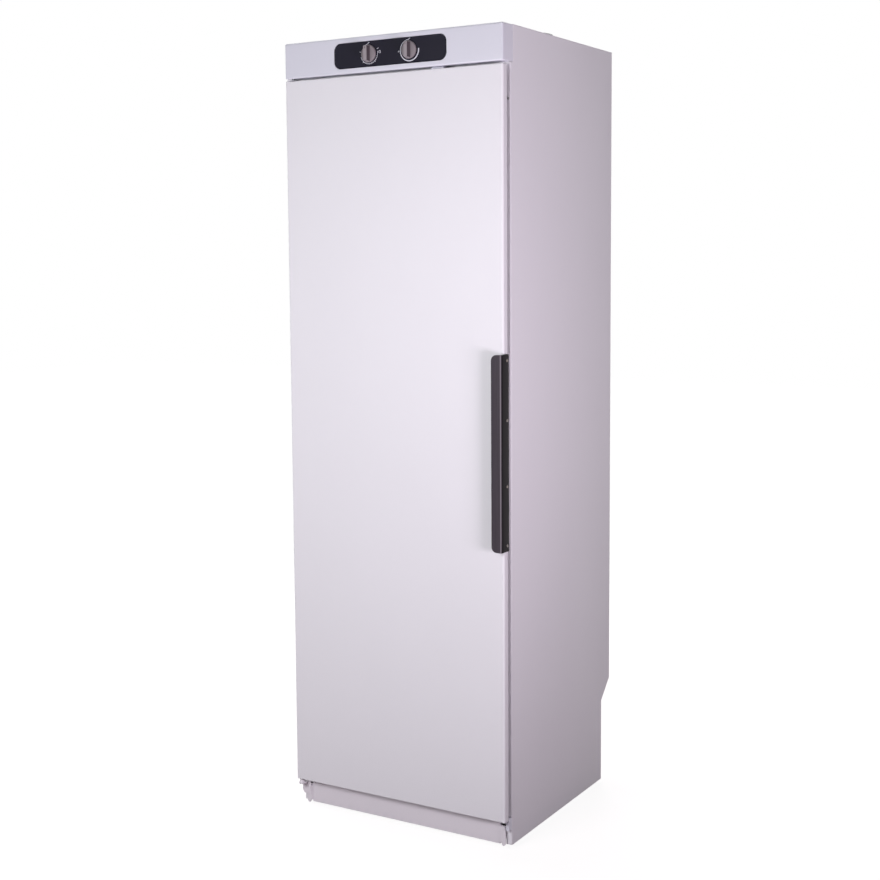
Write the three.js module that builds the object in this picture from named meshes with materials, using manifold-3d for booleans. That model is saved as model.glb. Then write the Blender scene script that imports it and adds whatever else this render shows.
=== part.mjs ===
// Drying cabinet: a tall white sheet-metal cabinet with one full-height door, a control
// panel with two knobs, folding hanger racks inside and a warm-air fan under the roof.
//
// Millimetres. X runs to the right seen from the front, Y runs from the front to the rear
// and Z up. The floor is z = 0, the middle of the width is x = 0 and the middle of the
// depth, handle included, is y = 0.

import * as THREE from 'three';
import { mergeVertices } from 'three/addons/utils/BufferGeometryUtils.js';
import Module from 'manifold-3d';

const wasm = await Module();
wasm.setup();

// ---------------------------------------------------------------- driving dimensions

// Casing
const CABINET_WIDTH = 595;
const CABINET_DEPTH = 595; // from the door's front to the rear panel
const CABINET_HEIGHT = 1900; // floor to roof
const FLOOR_CLEARANCE = 10; // floor to the side panels' lower edge
const CASING_SHEET = 1.2;
const LINER_SHEET = 1;
const WALL_THICKNESS = 27; // flange width, and the space between casing and chamber
const SIDE_BEND_RADIUS = 8;
const SEAT_GAP = 0.3; // between pieces that touch
const RUNNING_GAP = 0.3; // round pins, shafts and screws
const FOOT_FLANGE_WIDTH = 15; // the front flange is narrower beside the legs
const NOTCH_DEPTH = 50; // recess for the skirting board at the rear
const NOTCH_BOTTOM = 222;
const NOTCH_TOP = 272;
const FIXING_HEM = 12; // turned-in edges that panels are fixed by
const RAIL_DEPTH = 24; // front to rear, of the two rails across the front
const HEADER_SIDE_INSET = 7.5; // header rail's end to the cabinet's side
const REAR_INSET = 3; // the rear panels stop short of the sides' faces
const VENT_ROWS = 5;
const VENT_LENGTH = 90;
const VENT_WIDTH = 4;
const VENT_PITCH = 12;
const VENT_SIDE_INSET = 130; // middle of the rear vents to the cabinet's side
const VENT_DROP = 40; // roof to the first rear vent

// Door
const DOOR_BOTTOM = 74;
const DOOR_PANEL_GAP = 7; // between the door and the control panel above it
const DOOR_STANDOFF = 35; // door front to cabinet flange
const DOOR_SKIN_DEPTH = 18;
const DOOR_EDGE_RADIUS = 5;
const DOOR_HEM = 14;
const DOOR_LINER_INSET = 6; // inner door's rim to the door's edge
const DOOR_PLUG_REACH = 21; // how far the inner door tray stands out from its rim
const DOOR_PLUG_MARGIN = 14; // between the tray and the chamber's opening
const DOOR_PLUG_ROUNDING = 6;
const GASKET_WIDTH = 15;
const GASKET_INSET = 9.5;
const GASKET_NECK = 8;
const HINGE_INSET = 9.5; // hinge axis to the cabinet's left face
const HINGE_SETBACK = 11; // hinge axis to the door's front
const HINGE_PIN_RADIUS = 4;
const HINGE_PIN_LENGTH = 13;
const HINGE_TONGUE_RADIUS = 9;
const HINGE_PLATE = 3;
const BUSH_WALL = 1.2;
const BUSH_COLLAR = 1.3;

// Handle
const HANDLE_LENGTH = 450;
const HANDLE_CENTRE = 940;
const HANDLE_REACH = 22; // how far it stands out from the door
const HANDLE_WIDTH = 27;
const HANDLE_THICKNESS = 5;
const HANDLE_TAIL = 14; // how far it runs back along the door's edge
const HANDLE_CORNER = 13;
const HANDLE_SCREW_SETBACK = 5;
const HANDLE_SCREW_OFFSETS = [-211.5, -75.5, 75.5, 211.5];
const SCREW_RADIUS = 2;
const SCREW_HEAD_RADIUS = 3.6;
const SCREW_HEAD_HEIGHT = 1.4;
const SCREW_LENGTH = 12;

// Control panel
const PANEL_HEIGHT = 83;
const PANEL_DEPTH = 47;
const PANEL_WALL = 2.5;
const PANEL_TOP_DROP = 2.5; // the top falls this much towards the front
const PANEL_EDGE_RADIUS = 4;
const PANEL_SILL_DEPTH = 31;
const PANEL_BOSS_RADIUS = 5;
const PANEL_BOSS_BORE = 1.6;
const PANEL_BOSS_PLACES = [190, 240]; // from the middle, on each side
const FASCIA_WIDTH = 306;
const FASCIA_HEIGHT = 59;
const FASCIA_RISE = 40.5; // panel's lower edge to the insert's middle
const FASCIA_CORNER = 17.5;
const FASCIA_LIP = 5;
const FASCIA_LIP_SHEET = 1.5;
const FASCIA_SETBACK = 0.3;
const KNOB_SPACING = 110;
const KNOB_RADIUS = 20.5;
const KNOB_REACH = 18; // how far it stands out from the panel
const KNOB_SKIRT = 9;
const KNOB_GRIP_WIDTH = 11;
const KNOB_SHAFT_RADIUS = 3;
const CONTROL_UNIT_SIZE = 44;
const CONTROL_UNIT_NECK = 3.4;
const CONTROL_UNIT_NECK_RADIUS = 7;

// Base
const PLINTH_INSET = 28.5; // plinth's end to the cabinet's side
const PLINTH_TOP = 68;
const PLINTH_SETBACK = 29;
const BASE_TOP = 30;
const LEG_WIDTH = 15;
const LEG_PLATE = 3;
const LEG_SETBACK = 27;
const LEG_TIP = 5.5; // floor to the leg's tip
const LEG_LENGTH = 83; // front to rear
const RAIL_BOTTOM = 60;
const CHAMBER_FLOOR = 105;
const CHAMBER_RIM = 15; // turned-up edge of the chamber's floor
const MACHINE_SPACE_HEIGHT = 120; // chamber's ceiling to the roof
const FOOT_RADIUS = 13;
const FOOT_NECK_RADIUS = 8;
const FOOT_PAD = 4;
const FOOT_STUD_LENGTH = 16; // above the base pan
const FOOT_STUD_RADIUS = 5;
const FOOT_SIDE_INSET = 36;
const FOOT_END_INSET = 90;

// Racks
const TOP_RACK_DROP = 80; // chamber's ceiling to the top rack
const MID_RACK_HEIGHT = 1190;
const LOW_RACK_HEIGHT = 690;
const RACK_PRONGS = 7;
const RACK_PITCH = 75;
const RACK_REACH = 400;
const RACK_ROD_RADIUS = 3.5;
const RACK_TIP = 20;
const RACK_TIP_BEND = 12;
const RACK_PIVOT_SETBACK = 30; // pivot rod to the chamber's back wall
const RACK_BRACKET_SHEET = 2;
const RACK_BRACKET_RISE = 22;
const GLOVE_RACK_HEIGHT = 1450;
const GLOVE_RACK_WIDTH = 400;
const GLOVE_STRIP_HEIGHT = 28;
const GLOVE_STRIP_SHEET = 3;
const GLOVE_PEG_INSET = 30; // outer pegs to the strip's ends
const GLOVE_PEGS = 5;
const GLOVE_PEG_RADIUS = 4;
const GLOVE_PEG_REACH = 72;
const GLOVE_PEG_RISE = 22;

// Air system
const FAN_X = -100;
const FAN_SETBACK = 330; // fan axis to the door's front
const FAN_WHEEL_RADIUS = 75;
const FAN_WHEEL_HEIGHT = 42;
const FAN_BLADES = 20;
const FAN_BLADE_DEPTH = 17;
const FAN_HUB_RADIUS = 14;
const FAN_SHAFT_REACH = 26; // above the fan's casing
const FAN_SHEET = 1.5;
const FAN_RUNNING_GAP = 9;
const SCROLL_HEIGHT = 52;
const SCROLL_GROWTH = 32;
const SCROLL_OUTLET_REACH = 110;
const FAN_INLET_RADIUS = 55;
const FAN_SHAFT_RADIUS = 4;
const MOTOR_RADIUS = 40;
const MOTOR_HEIGHT = 40;
const HEATER_LENGTH = 190;
const HEATER_TUBE_RADIUS = 3.2;
const HEATER_RUNS = 4;
const HEATER_PITCH = 13;
const EXHAUST_X = 140;
const EXHAUST_SETBACK = 430;
const EXHAUST_RADIUS = 62.5;
const EXHAUST_WALL = 1.5;
const EXHAUST_RIM = 15;
const EXHAUST_RISE = 35;
const CABLE_BORE_RADIUS = 4;
const GLAND_WALL = 5;
const GLAND_SIDE_INSET = 70; // gland to the cabinet's left side
const GLAND_DROP = 60; // roof to gland

// Door switch and small pieces on the flange
const SWITCH_X = 128.5;
const SWITCH_TAB_WIDTH = 31;
const PLUNGER_RADIUS = 1.9;
const PLUNGER_REACH = 4.7;
const FLANGE_PLUG_DROP = 81; // panel's lower edge to the plug
const FLANGE_PLUG_INSET = 5;
const PLUG_STEM_RADIUS = 2;

// ------------------------------------------------------------------- derived places

const HALF_WIDTH = CABINET_WIDTH / 2;
const FRONT = -(CABINET_DEPTH + HANDLE_REACH) / 2 + HANDLE_REACH; // the door's front face
const FLANGE = FRONT + DOOR_STANDOFF; // the cabinet's front flange
const REAR = FRONT + CABINET_DEPTH;
const BODY_BOTTOM = FLOOR_CLEARANCE;
const BEHIND_FLANGE = FLANGE + CASING_SHEET + SEAT_GAP;
const BASE_FRONT = FLANGE + SIDE_BEND_RADIUS + SEAT_GAP;
const UNDER_ROOF = CABINET_HEIGHT - CASING_SHEET - SEAT_GAP;
const PANEL_BOTTOM = CABINET_HEIGHT - PANEL_HEIGHT;
const DOOR_TOP = PANEL_BOTTOM - DOOR_PANEL_GAP;
const FASCIA_CENTRE = PANEL_BOTTOM + FASCIA_RISE;
const CHAMBER_CEILING = CABINET_HEIGHT - MACHINE_SPACE_HEIGHT;
const PLINTH_HALF = CABINET_WIDTH / 2 - PLINTH_INSET;
const FLANGE_PLUG_HEIGHT = PANEL_BOTTOM - FLANGE_PLUG_DROP;
const RACK_HEIGHTS = {
  top: CHAMBER_CEILING - TOP_RACK_DROP,
  mid: MID_RACK_HEIGHT,
  low: LOW_RACK_HEIGHT,
};
const BEHIND_PANEL = FRONT + PANEL_DEPTH + SEAT_GAP;
const OPENING_HALF = HALF_WIDTH - WALL_THICKNESS; // half the door opening's width
const CHAMBER_HALF = OPENING_HALF - 0.5; // half the clear width between the liners
const CHAMBER_BACK = REAR - WALL_THICKNESS;
const HINGE_X = -HALF_WIDTH + HINGE_INSET;
const HINGE_Y = FRONT + HINGE_SETBACK;
const HANDLE_FACE_X = HALF_WIDTH + SEAT_GAP + HANDLE_THICKNESS;
const LINER_RIM_Y = FRONT + DOOR_SKIN_DEPTH + SEAT_GAP;
const PLUG_FACE_Y = LINER_RIM_Y + LINER_SHEET + DOOR_PLUG_REACH;
const CEILING_TOP = CHAMBER_CEILING + LINER_SHEET;
const SWITCH_Z = (DOOR_TOP + PANEL_BOTTOM) / 2 - 0.5;
const KNOB_CENTRES = { timer: -KNOB_SPACING / 2, thermostat: KNOB_SPACING / 2 };

// ----------------------------------------------------------------- building helpers

// A closed three.js geometry as a solid that can be cut and joined.
function solid(geometry) {
  const bare = geometry.index ? geometry.toNonIndexed() : geometry.clone();
  bare.deleteAttribute('normal');
  bare.deleteAttribute('uv');
  const merged = mergeVertices(bare, 1e-4);
  const vertProperties = Float32Array.from(merged.attributes.position.array);
  const triVerts = Uint32Array.from(merged.index.array);
  if (signedVolume(vertProperties, triVerts) < 0) flipFaces(triVerts);
  return new wasm.Manifold(new wasm.Mesh({ numProp: 3, vertProperties, triVerts }));
}

// Six times the volume inside a closed mesh, negative when its faces point inwards.
function signedVolume(points, triangles) {
  const corner = (index) => new THREE.Vector3().fromArray(points, 3 * index);
  let total = 0;
  for (let t = 0; t < triangles.length; t += 3) {
    const [a, b, c] = [0, 1, 2].map((k) => corner(triangles[t + k]));
    total += a.dot(b.cross(c));
  }
  return total;
}

function flipFaces(triangles) {
  for (let t = 0; t < triangles.length; t += 3) {
    [triangles[t], triangles[t + 1]] = [triangles[t + 1], triangles[t]];
  }
}

// The same solid on the other side of the middle plane x = 0.
function mirrored(body) {
  const mesh = body.getMesh();
  const vertProperties = Float32Array.from(mesh.vertProperties);
  const triVerts = Uint32Array.from(mesh.triVerts);
  for (let i = 0; i < vertProperties.length; i += 3) vertProperties[i] *= -1;
  flipFaces(triVerts);
  return new wasm.Manifold(new wasm.Mesh({ numProp: 3, vertProperties, triVerts }));
}

const onSide = (side, body) => (side < 0 ? mirrored(body) : body);
const joined = (bodies) => bodies.reduce((sum, body) => sum.add(body));
const without = (body, cuts) => cuts.reduce((rest, cut) => rest.subtract(cut), body);

function box(x0, x1, y0, y1, z0, z1) {
  const geometry = new THREE.BoxGeometry(x1 - x0, y1 - y0, z1 - z0);
  geometry.translate((x0 + x1) / 2, (y0 + y1) / 2, (z0 + z1) / 2);
  return solid(geometry);
}

// Turns a geometry made along +Z so that it runs along the named axis. The drawing plane
// is (y, z) for x, (x, z) for y and (x, y) for z, as each outline below is written.
function alongAxis(axis, geometry, from, to) {
  const matrix = new THREE.Matrix4();
  if (axis === 'x') matrix.set(0, 0, 1, from, 1, 0, 0, 0, 0, 1, 0, 0, 0, 0, 0, 1);
  if (axis === 'y') matrix.set(1, 0, 0, 0, 0, 0, -1, to, 0, 1, 0, 0, 0, 0, 0, 1);
  if (axis === 'z') matrix.set(1, 0, 0, 0, 0, 1, 0, 0, 0, 0, 1, from, 0, 0, 0, 1);
  return geometry.applyMatrix4(matrix);
}

// An outline pushed along an axis from one station to another, with optional holes and
// an optional rounding of its end edges.
function prism(axis, outline, from, to, holes = [], rounding = 0) {
  const shape = new THREE.Shape(outline.map(([u, v]) => new THREE.Vector2(u, v)));
  for (const hole of holes) {
    shape.holes.push(new THREE.Path(hole.map(([u, v]) => new THREE.Vector2(u, v))));
  }
  const geometry = new THREE.ExtrudeGeometry(shape, {
    depth: to - from - 2 * rounding,
    bevelEnabled: rounding > 0,
    bevelThickness: rounding,
    bevelSize: rounding,
    bevelOffset: -rounding,
    bevelSegments: 3,
    curveSegments: 1,
  });
  geometry.translate(0, 0, rounding);
  return solid(alongAxis(axis, geometry, from, to));
}

// A round bar along an axis. The centre is given in the drawing plane of that axis.
function drum(axis, [u, v], radius, from, to, sides = 24) {
  return prism(axis, circle([u, v], radius, sides), from, to);
}

function circle([u, v], radius, sides = 24) {
  return Array.from({ length: sides }, (_, k) => {
    const angle = (2 * Math.PI * (k + 0.5)) / sides;
    return [u + radius * Math.cos(angle), v + radius * Math.sin(angle)];
  });
}

// A profile of [radius, height] points turned about the Z axis through (x, y).
function turned(profile, [x, y], sides = 32) {
  const points = profile.map(([radius, height]) => new THREE.Vector2(radius, height));
  const geometry = new THREE.LatheGeometry([...points, points[0]], sides);
  geometry.rotateX(Math.PI / 2);
  geometry.translate(x, y, 0);
  return solid(geometry);
}

// An outline whose corners [u, v, radius] are rounded where a radius is given.
function rounded(corners, steps = 3) {
  return corners.flatMap(([u, v, radius], i) => {
    if (!radius) return [[u, v]];
    const here = new THREE.Vector2(u, v);
    const [before, after] = [corners.at(i - 1), corners[(i + 1) % corners.length]].map(
      ([a, b]) => new THREE.Vector2(a, b).sub(here),
    );
    const shortest = Math.min(before.length(), after.length());
    before.normalize();
    after.normalize();
    const half = Math.acos(before.dot(after)) / 2;
    const reach = Math.min(radius / Math.tan(half), 0.499 * shortest);
    const bend = reach * Math.tan(half);
    const centre = before.clone().add(after).normalize();
    centre.multiplyScalar(bend / Math.sin(half)).add(here);
    const start = before.multiplyScalar(reach).add(here).sub(centre).angle();
    const end = after.multiplyScalar(reach).add(here).sub(centre).angle();
    const turn = ((end - start + 3 * Math.PI) % (2 * Math.PI)) - Math.PI;
    return Array.from({ length: steps + 1 }, (_, k) => {
      const angle = start + (turn * k) / steps;
      return [centre.x + bend * Math.cos(angle), centre.y + bend * Math.sin(angle)];
    });
  });
}

// A line moved sideways, to the left of its direction of travel, with mitred corners.
function shifted(points, distance, closed = false) {
  const last = points.length - 1;
  return points.map(([u, v], i) => {
    const before = i > 0 ? points[i - 1] : closed ? points[last] : null;
    const after = i < last ? points[i + 1] : closed ? points[0] : null;
    const along = [before && [u - before[0], v - before[1]], after && [after[0] - u, after[1] - v]];
    const normals = along.filter(Boolean).map(([a, b]) => {
      const length = Math.hypot(a, b);
      return [-b / length, a / length];
    });
    const [first, second] = [normals[0], normals.at(-1)];
    const scale = distance / (1 + first[0] * second[0] + first[1] * second[1]);
    return [u + scale * (first[0] + second[0]), v + scale * (first[1] + second[1])];
  });
}

function rectangle(u0, u1, v0, v1, radius = 0) {
  return rounded([[u0, v0, radius], [u1, v0, radius], [u1, v1, radius], [u0, v1, radius]]);
}

// A round-ended slot in a drawing plane.
function slot([u, v], length, width) {
  const [a, b, r] = [length / 2, width / 2, width / 2];
  return rounded([[u - a, v - b, r], [u + a, v - b, r], [u + a, v + b, r], [u - a, v + b, r]], 1);
}

// A path through given points, used as the centre line of a bent rod.
class BentLine extends THREE.Curve {
  constructor(points) {
    super();
    this.points = points.map(([x, y, z]) => new THREE.Vector3(x, y, z));
  }

  getPoint(t, target = new THREE.Vector3()) {
    const index = Math.round(t * (this.points.length - 1));
    return target.copy(this.points[index]);
  }

  getPointAt(u, target) {
    return this.getPoint(u, target);
  }

  getTangentAt(u, target = new THREE.Vector3()) {
    const index = Math.round(u * (this.points.length - 1));
    const before = this.points[Math.max(index - 1, 0)];
    const after = this.points[Math.min(index + 1, this.points.length - 1)];
    return target.copy(after).sub(before).normalize();
  }
}

function bentRod(points, radius, sides = 8) {
  const section = new THREE.Shape(
    circle([0, 0], radius, sides).map(([u, v]) => new THREE.Vector2(u, v)),
  );
  const extrudePath = new BentLine(points);
  const steps = points.length - 1;
  return solid(new THREE.ExtrudeGeometry(section, { steps, extrudePath, curveSegments: 1 }));
}

// ------------------------------------------------------------------------- materials

function finish(color, roughness, metalness = 0) {
  return () => new THREE.MeshStandardMaterial({ color, roughness, metalness });
}

const WHITE_PAINT = finish(0xdad6dc, 0.42);
const SHADED_PAINT = finish(0xb9b4bc, 0.5);
const WHITE_PLASTIC = finish(0xdcdce2, 0.4);
const BLACK_GLOSS = finish(0x24242e, 0.28);
const GREY_KNOB = finish(0x8c8489, 0.4);
const DARK_HANDLE = finish(0x3f3a3e, 0.5);
const GREY_RUBBER = finish(0x5f585e, 0.8);
const BLACK_RUBBER = finish(0x29272a, 0.85);
const ZINC = finish(0xb4b2ae, 0.38, 0.9);
const BRIGHT_STEEL = finish(0xc4c3c2, 0.28, 1);
const DARK_STEEL = finish(0x77726f, 0.5, 0.9);
const BLACK_PLASTIC = finish(0x1d1c1e, 0.55);

const cabinet = new THREE.Group();

function addPart(name, body, material) {
  const { vertProperties, triVerts } = body.getMesh();
  const geometry = new THREE.BufferGeometry();
  geometry.setAttribute('position', new THREE.BufferAttribute(vertProperties, 3));
  geometry.setIndex(new THREE.BufferAttribute(triVerts, 1));
  geometry.computeVertexNormals();
  const mesh = new THREE.Mesh(geometry, material());
  mesh.name = name;
  cabinet.add(mesh);
}

// ---------------------------------------------------------------------------- casing

// The rear outline seen from the side, from the top down, set in by a distance.
function rearLine(inset, top, bottom) {
  const corners = [
    [REAR, top],
    [REAR, NOTCH_TOP],
    [REAR - NOTCH_DEPTH, NOTCH_BOTTOM],
    [REAR - NOTCH_DEPTH, bottom],
  ];
  return shifted(corners, -inset);
}

// The side panel's outline, set in from the rear panel's inner face, with the step at
// the top front where the control panel's cheek wraps round.
function sideOutline() {
  const rear = rearLine(CASING_SHEET + SEAT_GAP, UNDER_ROOF, BODY_BOTTOM);
  return [
    ...rear,
    [FLANGE, BODY_BOTTOM],
    [FLANGE, PANEL_BOTTOM - SEAT_GAP],
    [BEHIND_PANEL, PANEL_BOTTOM - SEAT_GAP],
    [BEHIND_PANEL, UNDER_ROOF],
  ];
}

// A block in the side panel's shape, set in by the sheet for the hollow inside it.
function sideBlock(inset) {
  const outline = shifted(sideOutline(), -inset, true);
  const inner = HALF_WIDTH - WALL_THICKNESS - (inset > 0 ? 1 : 0);
  const slab = prism('x', outline, inner, HALF_WIDTH - inset);
  const plan = rounded([
    [inner, FLANGE + inset],
    [HALF_WIDTH - inset, FLANGE + inset, SIDE_BEND_RADIUS - inset],
    [HALF_WIDTH - inset, REAR],
    [inner, REAR],
  ]);
  return slab.intersect(prism('z', plan, 0, CABINET_HEIGHT));
}

function sidePanel(side) {
  const legCut = box(
    HALF_WIDTH - WALL_THICKNESS - 1,
    HALF_WIDTH - FOOT_FLANGE_WIDTH,
    FLANGE - 1,
    BEHIND_FLANGE,
    0,
    RAIL_BOTTOM - 2,
  );
  const shell = without(sideBlock(0), [sideBlock(CASING_SHEET), legCut]);
  if (side < 0) return mirrored(shell);
  const plugHole = [HALF_WIDTH - FLANGE_PLUG_INSET, FLANGE_PLUG_HEIGHT];
  const boreEnd = FLANGE + SIDE_BEND_RADIUS;
  const bore = drum('y', plugHole, PLUG_STEM_RADIUS + RUNNING_GAP, FLANGE - 1, boreEnd, 12);
  return shell.subtract(bore);
}

function topPanel() {
  const hemTop = CABINET_HEIGHT - CASING_SHEET;
  const hem = (y0) => {
    const half = OPENING_HALF - SEAT_GAP;
    return box(-half, half, y0, y0 + CASING_SHEET, hemTop - FIXING_HEM, hemTop);
  };
  const sheet = box(-HALF_WIDTH, HALF_WIDTH, BEHIND_PANEL, REAR, hemTop, CABINET_HEIGHT);
  const rearHem = REAR - 2 * CASING_SHEET - SEAT_GAP;
  const body = joined([sheet, hem(BEHIND_PANEL), hem(rearHem)]);
  const centre = [EXHAUST_X, FRONT + EXHAUST_SETBACK];
  return body.subtract(drum('z', centre, EXHAUST_RADIUS + SEAT_GAP, 0, CABINET_HEIGHT + 1, 40));
}

const REAR_JOINT = NOTCH_TOP + 3; // where the two rear panels meet
const CABLE_PLACE = [-HALF_WIDTH + GLAND_SIDE_INSET, CABINET_HEIGHT - GLAND_DROP];
const GLAND_RADIUS = CABLE_BORE_RADIUS + GLAND_WALL;

function rearPanel() {
  const half = HALF_WIDTH - REAR_INSET;
  const outline = rectangle(-half, half, REAR_JOINT, UNDER_ROOF);
  const vents = [];
  for (let row = 0; row < VENT_ROWS; row += 1) {
    const height = CABINET_HEIGHT - VENT_DROP - VENT_PITCH * row;
    vents.push(slot([HALF_WIDTH - VENT_SIDE_INSET, height], VENT_LENGTH, VENT_WIDTH));
  }
  const gland = circle(CABLE_PLACE, GLAND_RADIUS + SEAT_GAP, 16);
  return prism('y', outline, REAR - CASING_SHEET, REAR, [...vents, gland]);
}

function rearKickPanel() {
  const half = HALF_WIDTH - REAR_INSET;
  const outer = rearLine(0, REAR_JOINT - SEAT_GAP, BODY_BOTTOM + 2);
  const inner = rearLine(CASING_SHEET, REAR_JOINT - SEAT_GAP, BODY_BOTTOM + 2);
  return prism('x', [...outer, ...inner.reverse()], -half, half);
}

function basePan() {
  const half = HALF_WIDTH - CASING_SHEET - SEAT_GAP;
  const front = BASE_FRONT;
  const rear = REAR - NOTCH_DEPTH - 2 * (CASING_SHEET + SEAT_GAP);
  const bottom = BODY_BOTTOM + CASING_SHEET + SEAT_GAP;
  const sheet = CASING_SHEET;
  const block = box(-half, half, front, rear, bottom, BASE_TOP);
  const hollow = box(-half + sheet, half - sheet, front - 1, rear - sheet, 0, BASE_TOP - sheet);
  const holes = footPlaces().map((place) => {
    return drum('z', place, FOOT_STUD_RADIUS + RUNNING_GAP, 0, BASE_TOP + 1, 12);
  });
  return without(block, [hollow, ...holes]);
}

// The four feet stand far enough in to be out of sight behind the panels.
function footPlaces() {
  const x = HALF_WIDTH - FOOT_SIDE_INSET;
  const ends = [FLANGE + FOOT_END_INSET, REAR - NOTCH_DEPTH - FOOT_END_INSET];
  return ends.flatMap((y) => [[-x, y], [x, y]]);
}

function levellingFoot(place) {
  const shoulder = BASE_TOP - CASING_SHEET - SEAT_GAP;
  const profile = [
    [0, 0],
    [FOOT_RADIUS, 0],
    [FOOT_RADIUS, FOOT_PAD],
    [FOOT_NECK_RADIUS, FOOT_PAD + 3.5],
    [FOOT_NECK_RADIUS, shoulder],
    [FOOT_STUD_RADIUS, shoulder],
    [FOOT_STUD_RADIUS, shoulder + FOOT_STUD_LENGTH],
    [0, shoulder + FOOT_STUD_LENGTH],
  ];
  return turned(profile, place, 14);
}

// ------------------------------------------------------------------- base and plinth

function plinth() {
  const half = PLINTH_HALF;
  const front = FRONT + PLINTH_SETBACK;
  const back = BASE_FRONT - SEAT_GAP;
  const sheet = CASING_SHEET;
  const block = box(-half, half, front, back, BODY_BOTTOM, PLINTH_TOP);
  const hollow = box(-half + sheet, half - sheet, front + sheet, back + 1, 0, PLINTH_TOP - sheet);
  const railRelief = box(-half - 1, half + 1, FLANGE - SEAT_GAP, back + 1, RAIL_BOTTOM - 2, DOOR_TOP);
  return without(block, [hollow, railRelief]);
}

// The leg seen from the front: it narrows to a rounded tip near the floor.
function legOutline(inner) {
  const outer = inner + LEG_WIDTH;
  return rounded([
    [inner, RAIL_BOTTOM - 4],
    [inner, BASE_TOP],
    [inner + 5, LEG_TIP + 5],
    [inner + 9, LEG_TIP, 2.5],
    [outer, LEG_TIP + 5, 2],
    [outer, RAIL_BOTTOM - 4],
  ], 2);
}

function legBracket(side) {
  const inner = PLINTH_HALF + SEAT_GAP;
  const front = FRONT + LEG_SETBACK;
  const plate = prism('y', legOutline(inner), front, front + LEG_PLATE);
  const webOutline = [
    [front, BODY_BOTTOM + 4],
    [front + LEG_LENGTH, BODY_BOTTOM + 4],
    [front + LEG_LENGTH, BASE_TOP - CASING_SHEET - SEAT_GAP],
    [BEHIND_FLANGE - SEAT_GAP - 1, BASE_TOP - CASING_SHEET - SEAT_GAP],
    [BEHIND_FLANGE - SEAT_GAP - 1, RAIL_BOTTOM - 4],
    [front, RAIL_BOTTOM - 4],
  ];
  const web = prism('x', webOutline, inner, inner + LEG_PLATE);
  return onSide(side, plate.add(web));
}

// A channel across the front below the door opening.
function bottomRail() {
  const face = OPENING_HALF - SEAT_GAP;
  const back = CHAMBER_HALF - SEAT_GAP;
  const top = CHAMBER_FLOOR - SEAT_GAP;
  const depth = FLANGE + RAIL_DEPTH;
  return joined([
    box(-face, face, FLANGE, FLANGE + CASING_SHEET, RAIL_BOTTOM, top),
    box(-back, back, FLANGE, depth, top - CASING_SHEET, top),
    box(-back, back, FLANGE, depth, RAIL_BOTTOM, RAIL_BOTTOM + CASING_SHEET),
  ]);
}

// The frame part above the door opening; its wider upper half carries the control panel.
function headerRail() {
  const face = OPENING_HALF - SEAT_GAP;
  const wide = HALF_WIDTH - HEADER_SIDE_INSET;
  const bottom = CEILING_TOP + SEAT_GAP;
  const top = CABINET_HEIGHT - CASING_SHEET - FIXING_HEM - SEAT_GAP;
  const back = FLANGE + CASING_SHEET;
  const cheekEnd = BEHIND_PANEL - SEAT_GAP;
  const sheet = CASING_SHEET;
  const lowerHalf = CHAMBER_HALF - LINER_SHEET - 2 * SEAT_GAP;
  const body = joined([
    box(-face, face, FLANGE, back, bottom, PANEL_BOTTOM + 5),
    box(-wide, wide, FLANGE, back, PANEL_BOTTOM, top),
    box(-wide, -wide + sheet, FLANGE, cheekEnd, PANEL_BOTTOM, top),
    box(wide - sheet, wide, FLANGE, cheekEnd, PANEL_BOTTOM, top),
    box(-face, face, FLANGE, FLANGE + RAIL_DEPTH, top - sheet, top),
    box(-lowerHalf, lowerHalf, FLANGE, FLANGE + RAIL_DEPTH, bottom, bottom + sheet),
  ]);
  const plungerHole = PLUNGER_RADIUS + RUNNING_GAP;
  return body.subtract(drum('y', [SWITCH_X, SWITCH_Z], plungerHole, FLANGE - 1, back + 1, 16));
}

// ---------------------------------------------------------------------- the chamber

function sideLiner(side) {
  const bottom = CHAMBER_FLOOR - CHAMBER_RIM;
  const top = CEILING_TOP + FIXING_HEM;
  const rear = rearLine(WALL_THICKNESS + SEAT_GAP, top, bottom);
  const outline = [...rear, [BEHIND_FLANGE, bottom], [BEHIND_FLANGE, top]];
  const wall = prism('x', outline, CHAMBER_HALF, CHAMBER_HALF + LINER_SHEET);
  const turnOut = box(
    CHAMBER_HALF,
    CHAMBER_HALF + FIXING_HEM,
    BEHIND_FLANGE,
    BEHIND_FLANGE + LINER_SHEET,
    bottom,
    top,
  );
  return onSide(side, wall.add(turnOut));
}

function backLiner() {
  const top = CEILING_TOP + FIXING_HEM;
  const bottom = CHAMBER_FLOOR - CHAMBER_RIM;
  const front = rearLine(WALL_THICKNESS, top, bottom);
  const back = rearLine(WALL_THICKNESS - LINER_SHEET, top, bottom);
  const half = CHAMBER_HALF + LINER_SHEET + 1;
  return prism('x', [...back, ...front.reverse()], -half, half);
}

// A shallow tray with a turned-up rim and pressed stiffening ribs.
function chamberFloor() {
  const half = CHAMBER_HALF - SEAT_GAP;
  const back = REAR - NOTCH_DEPTH - WALL_THICKNESS - SEAT_GAP;
  const rim = CHAMBER_FLOOR + CHAMBER_RIM;
  const sheet = LINER_SHEET;
  const front = BEHIND_FLANGE;
  const block = box(-half, half, front, back, CHAMBER_FLOOR, rim);
  const inside = [-half + sheet, half - sheet, front - 1, back - sheet];
  const hollow = box(...inside, CHAMBER_FLOOR + sheet, rim + 1);
  const ribs = [-150, -50, 50, 150].map((x) => {
    const outline = rounded([[x - 9, CHAMBER_FLOOR + sheet], [x, CHAMBER_FLOOR + 5, 5],
      [x + 9, CHAMBER_FLOOR + sheet]]);
    const section = [...outline, [x + 5, CHAMBER_FLOOR + 0.5], [x - 5, CHAMBER_FLOOR + 0.5]];
    return prism('y', section, front + 50, back - 50);
  });
  return joined([block.subtract(hollow), ...ribs]);
}

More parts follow.
